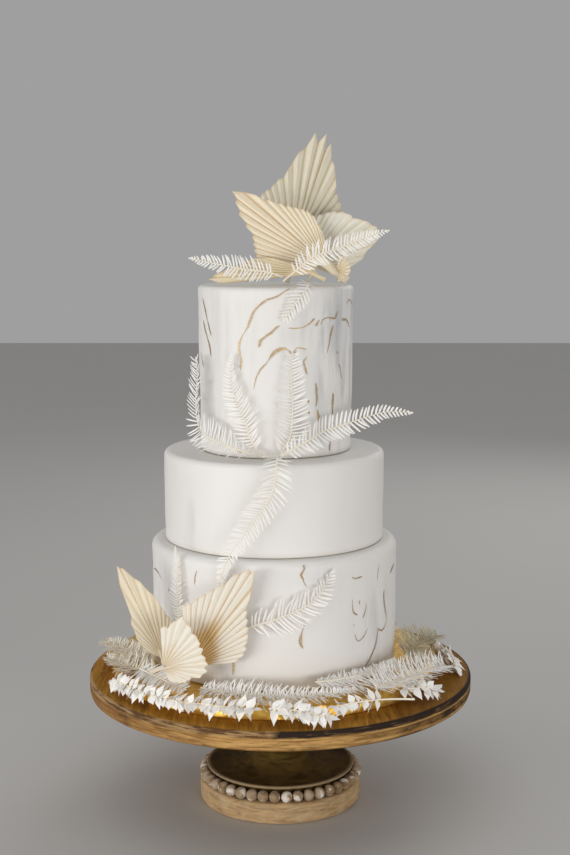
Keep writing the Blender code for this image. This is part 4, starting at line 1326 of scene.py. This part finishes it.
class CAKE_OT_stage(bpy.types.Operator):
    """Set up the camera, the floor and the soft lights"""
    bl_idname = "cake.stage"
    bl_label = "Camera and Lights"

    def execute(self, context):
        scene = context.scene
        camera_data = bpy.data.cameras.new("camera")
        camera = bpy.data.objects.new("camera", camera_data)
        scene.collection.objects.link(camera)
        camera.location = (0.0049, -1.453, 0.599)
        camera.rotation_euler = (math.radians(82), 0, 0)
        camera_data.sensor_fit = "VERTICAL"
        focal_length_pixels = 1420
        picture_height_pixels = 855
        camera_data.sensor_height = 36
        camera_data.lens = focal_length_pixels / picture_height_pixels * camera_data.sensor_height
        camera_data.clip_start = 0.05
        scene.camera = camera

        floor = bpy.data.meshes.new("floor")
        size = 6
        corners = [(-size, -size, 0), (size, -size, 0), (size, size, 0), (-size, size, 0)]
        floor.from_pydata(corners, [], [(0, 1, 2, 3)])
        ground = bpy.data.objects.new("floor", floor)
        scene.collection.objects.link(ground)
        shader = Shader("floor_matte", 0.85, specular=0.2)
        tint = shader.noise(shader.place(), 3, 2)
        shader.colour(shader.mix(tint, (0.6, 0.59, 0.575), (0.62, 0.61, 0.595)))
        floor.materials.append(shader.material)

        world = bpy.data.worlds.new("studio")
        world.use_nodes = True
        background = world.node_tree.nodes["Background"]
        background.inputs["Color"].default_value = (0.64, 0.64, 0.64, 1)
        background.inputs["Strength"].default_value = 0.54
        scene.world = world
        scene.view_settings.view_transform = "Standard"

        target = Vector((0, 0, 0.32))
        for name, place, width, height, energy, colour in (
            ("window", (-2.15, -1.55, 0.31), 2, 0.6, 33.2, (1, 0.988, 0.968)),
            ("fill", (1.1, -2, 0.31), 1.4, 0.6, 17.2, (1, 0.985, 0.965)),
            ("rim", (0.9, 1.7, 1.4), 1.2, 1.2, 7, (1, 0.98, 0.96)),
            ("overhead", (-0.3, -0.6, 2.2), 1.8, 1.8, 5, (1, 0.985, 0.965)),
        ):
            data = bpy.data.lights.new(name, "AREA")
            data.shape = "RECTANGLE"
            data.size = width
            data.size_y = height
            data.energy = energy
            data.color = colour
            light = bpy.data.objects.new(name, data)
            scene.collection.objects.link(light)
            light.location = place
            light.rotation_euler = (target - Vector(place)).to_track_quat("-Z", "Y").to_euler()
        return {"FINISHED"}


def colour_property(name, description, default):
    return FloatVectorProperty(
        name=name, description=description, subtype="COLOR", size=3, min=0, max=1, default=default,
    )


class CakeLook(bpy.types.PropertyGroup):
    fondant_colour: colour_property("Fondant", "Colour of the sugar paste", (0.83, 0.817, 0.797))
    vein_colour: colour_property("Veins", "Colour of the painted veins", (0.58, 0.41, 0.205))
    vein_width: FloatProperty(
        name="Vein Width", description="Scale of the widths of the painted veins", default=1, min=0.2,
        max=3,
    )
    foil_colour: colour_property("Foil", "Colour of the board's foil", (0.9, 0.57, 0.12))
    wood_colour: colour_property("Plate Wood", "Colour of the plate's wood", (0.36, 0.178, 0.026))
    palm_colour: colour_property("Palm", "Colour of the palm leaves", (0.88, 0.8, 0.63))
    fern_colour: colour_property("Fern", "Colour of the ferns and sprigs", (0.93, 0.915, 0.885))


class CAKE_PT_panel(bpy.types.Panel):
    bl_idname = "CAKE_PT_panel"
    bl_label = "Tiered Wedding Cake"
    bl_space_type = "VIEW_3D"
    bl_region_type = "UI"
    bl_category = "Cake"

    def draw(self, context):
        layout = self.layout
        for name in CakeLook.__annotations__:
            layout.prop(context.scene.cake_look, name)
        for operator in BUILD_ORDER:
            layout.operator(operator.bl_idname)


BUILD_ORDER = (
    CAKE_OT_stage,
    CAKE_OT_stand,
    CAKE_OT_board,
    CAKE_OT_tiers,
    CAKE_OT_palms,
    CAKE_OT_ferns,
    CAKE_OT_sprigs,
)

CLASSES = (CakeLook, *BUILD_ORDER, CAKE_PT_panel)


def register():
    for cls in CLASSES:
        bpy.utils.register_class(cls)
    bpy.types.Scene.cake_look = PointerProperty(type=CakeLook)


def unregister():
    del bpy.types.Scene.cake_look
    for cls in reversed(CLASSES):
        bpy.utils.unregister_class(cls)


def main():
    register()
    bpy.ops.cake.stage()
    bpy.ops.cake.stand()
    bpy.ops.cake.board()
    bpy.ops.cake.tiers()
    bpy.ops.cake.palms()
    bpy.ops.cake.ferns()
    bpy.ops.cake.sprigs()


if __name__ == "__main__":
    main()
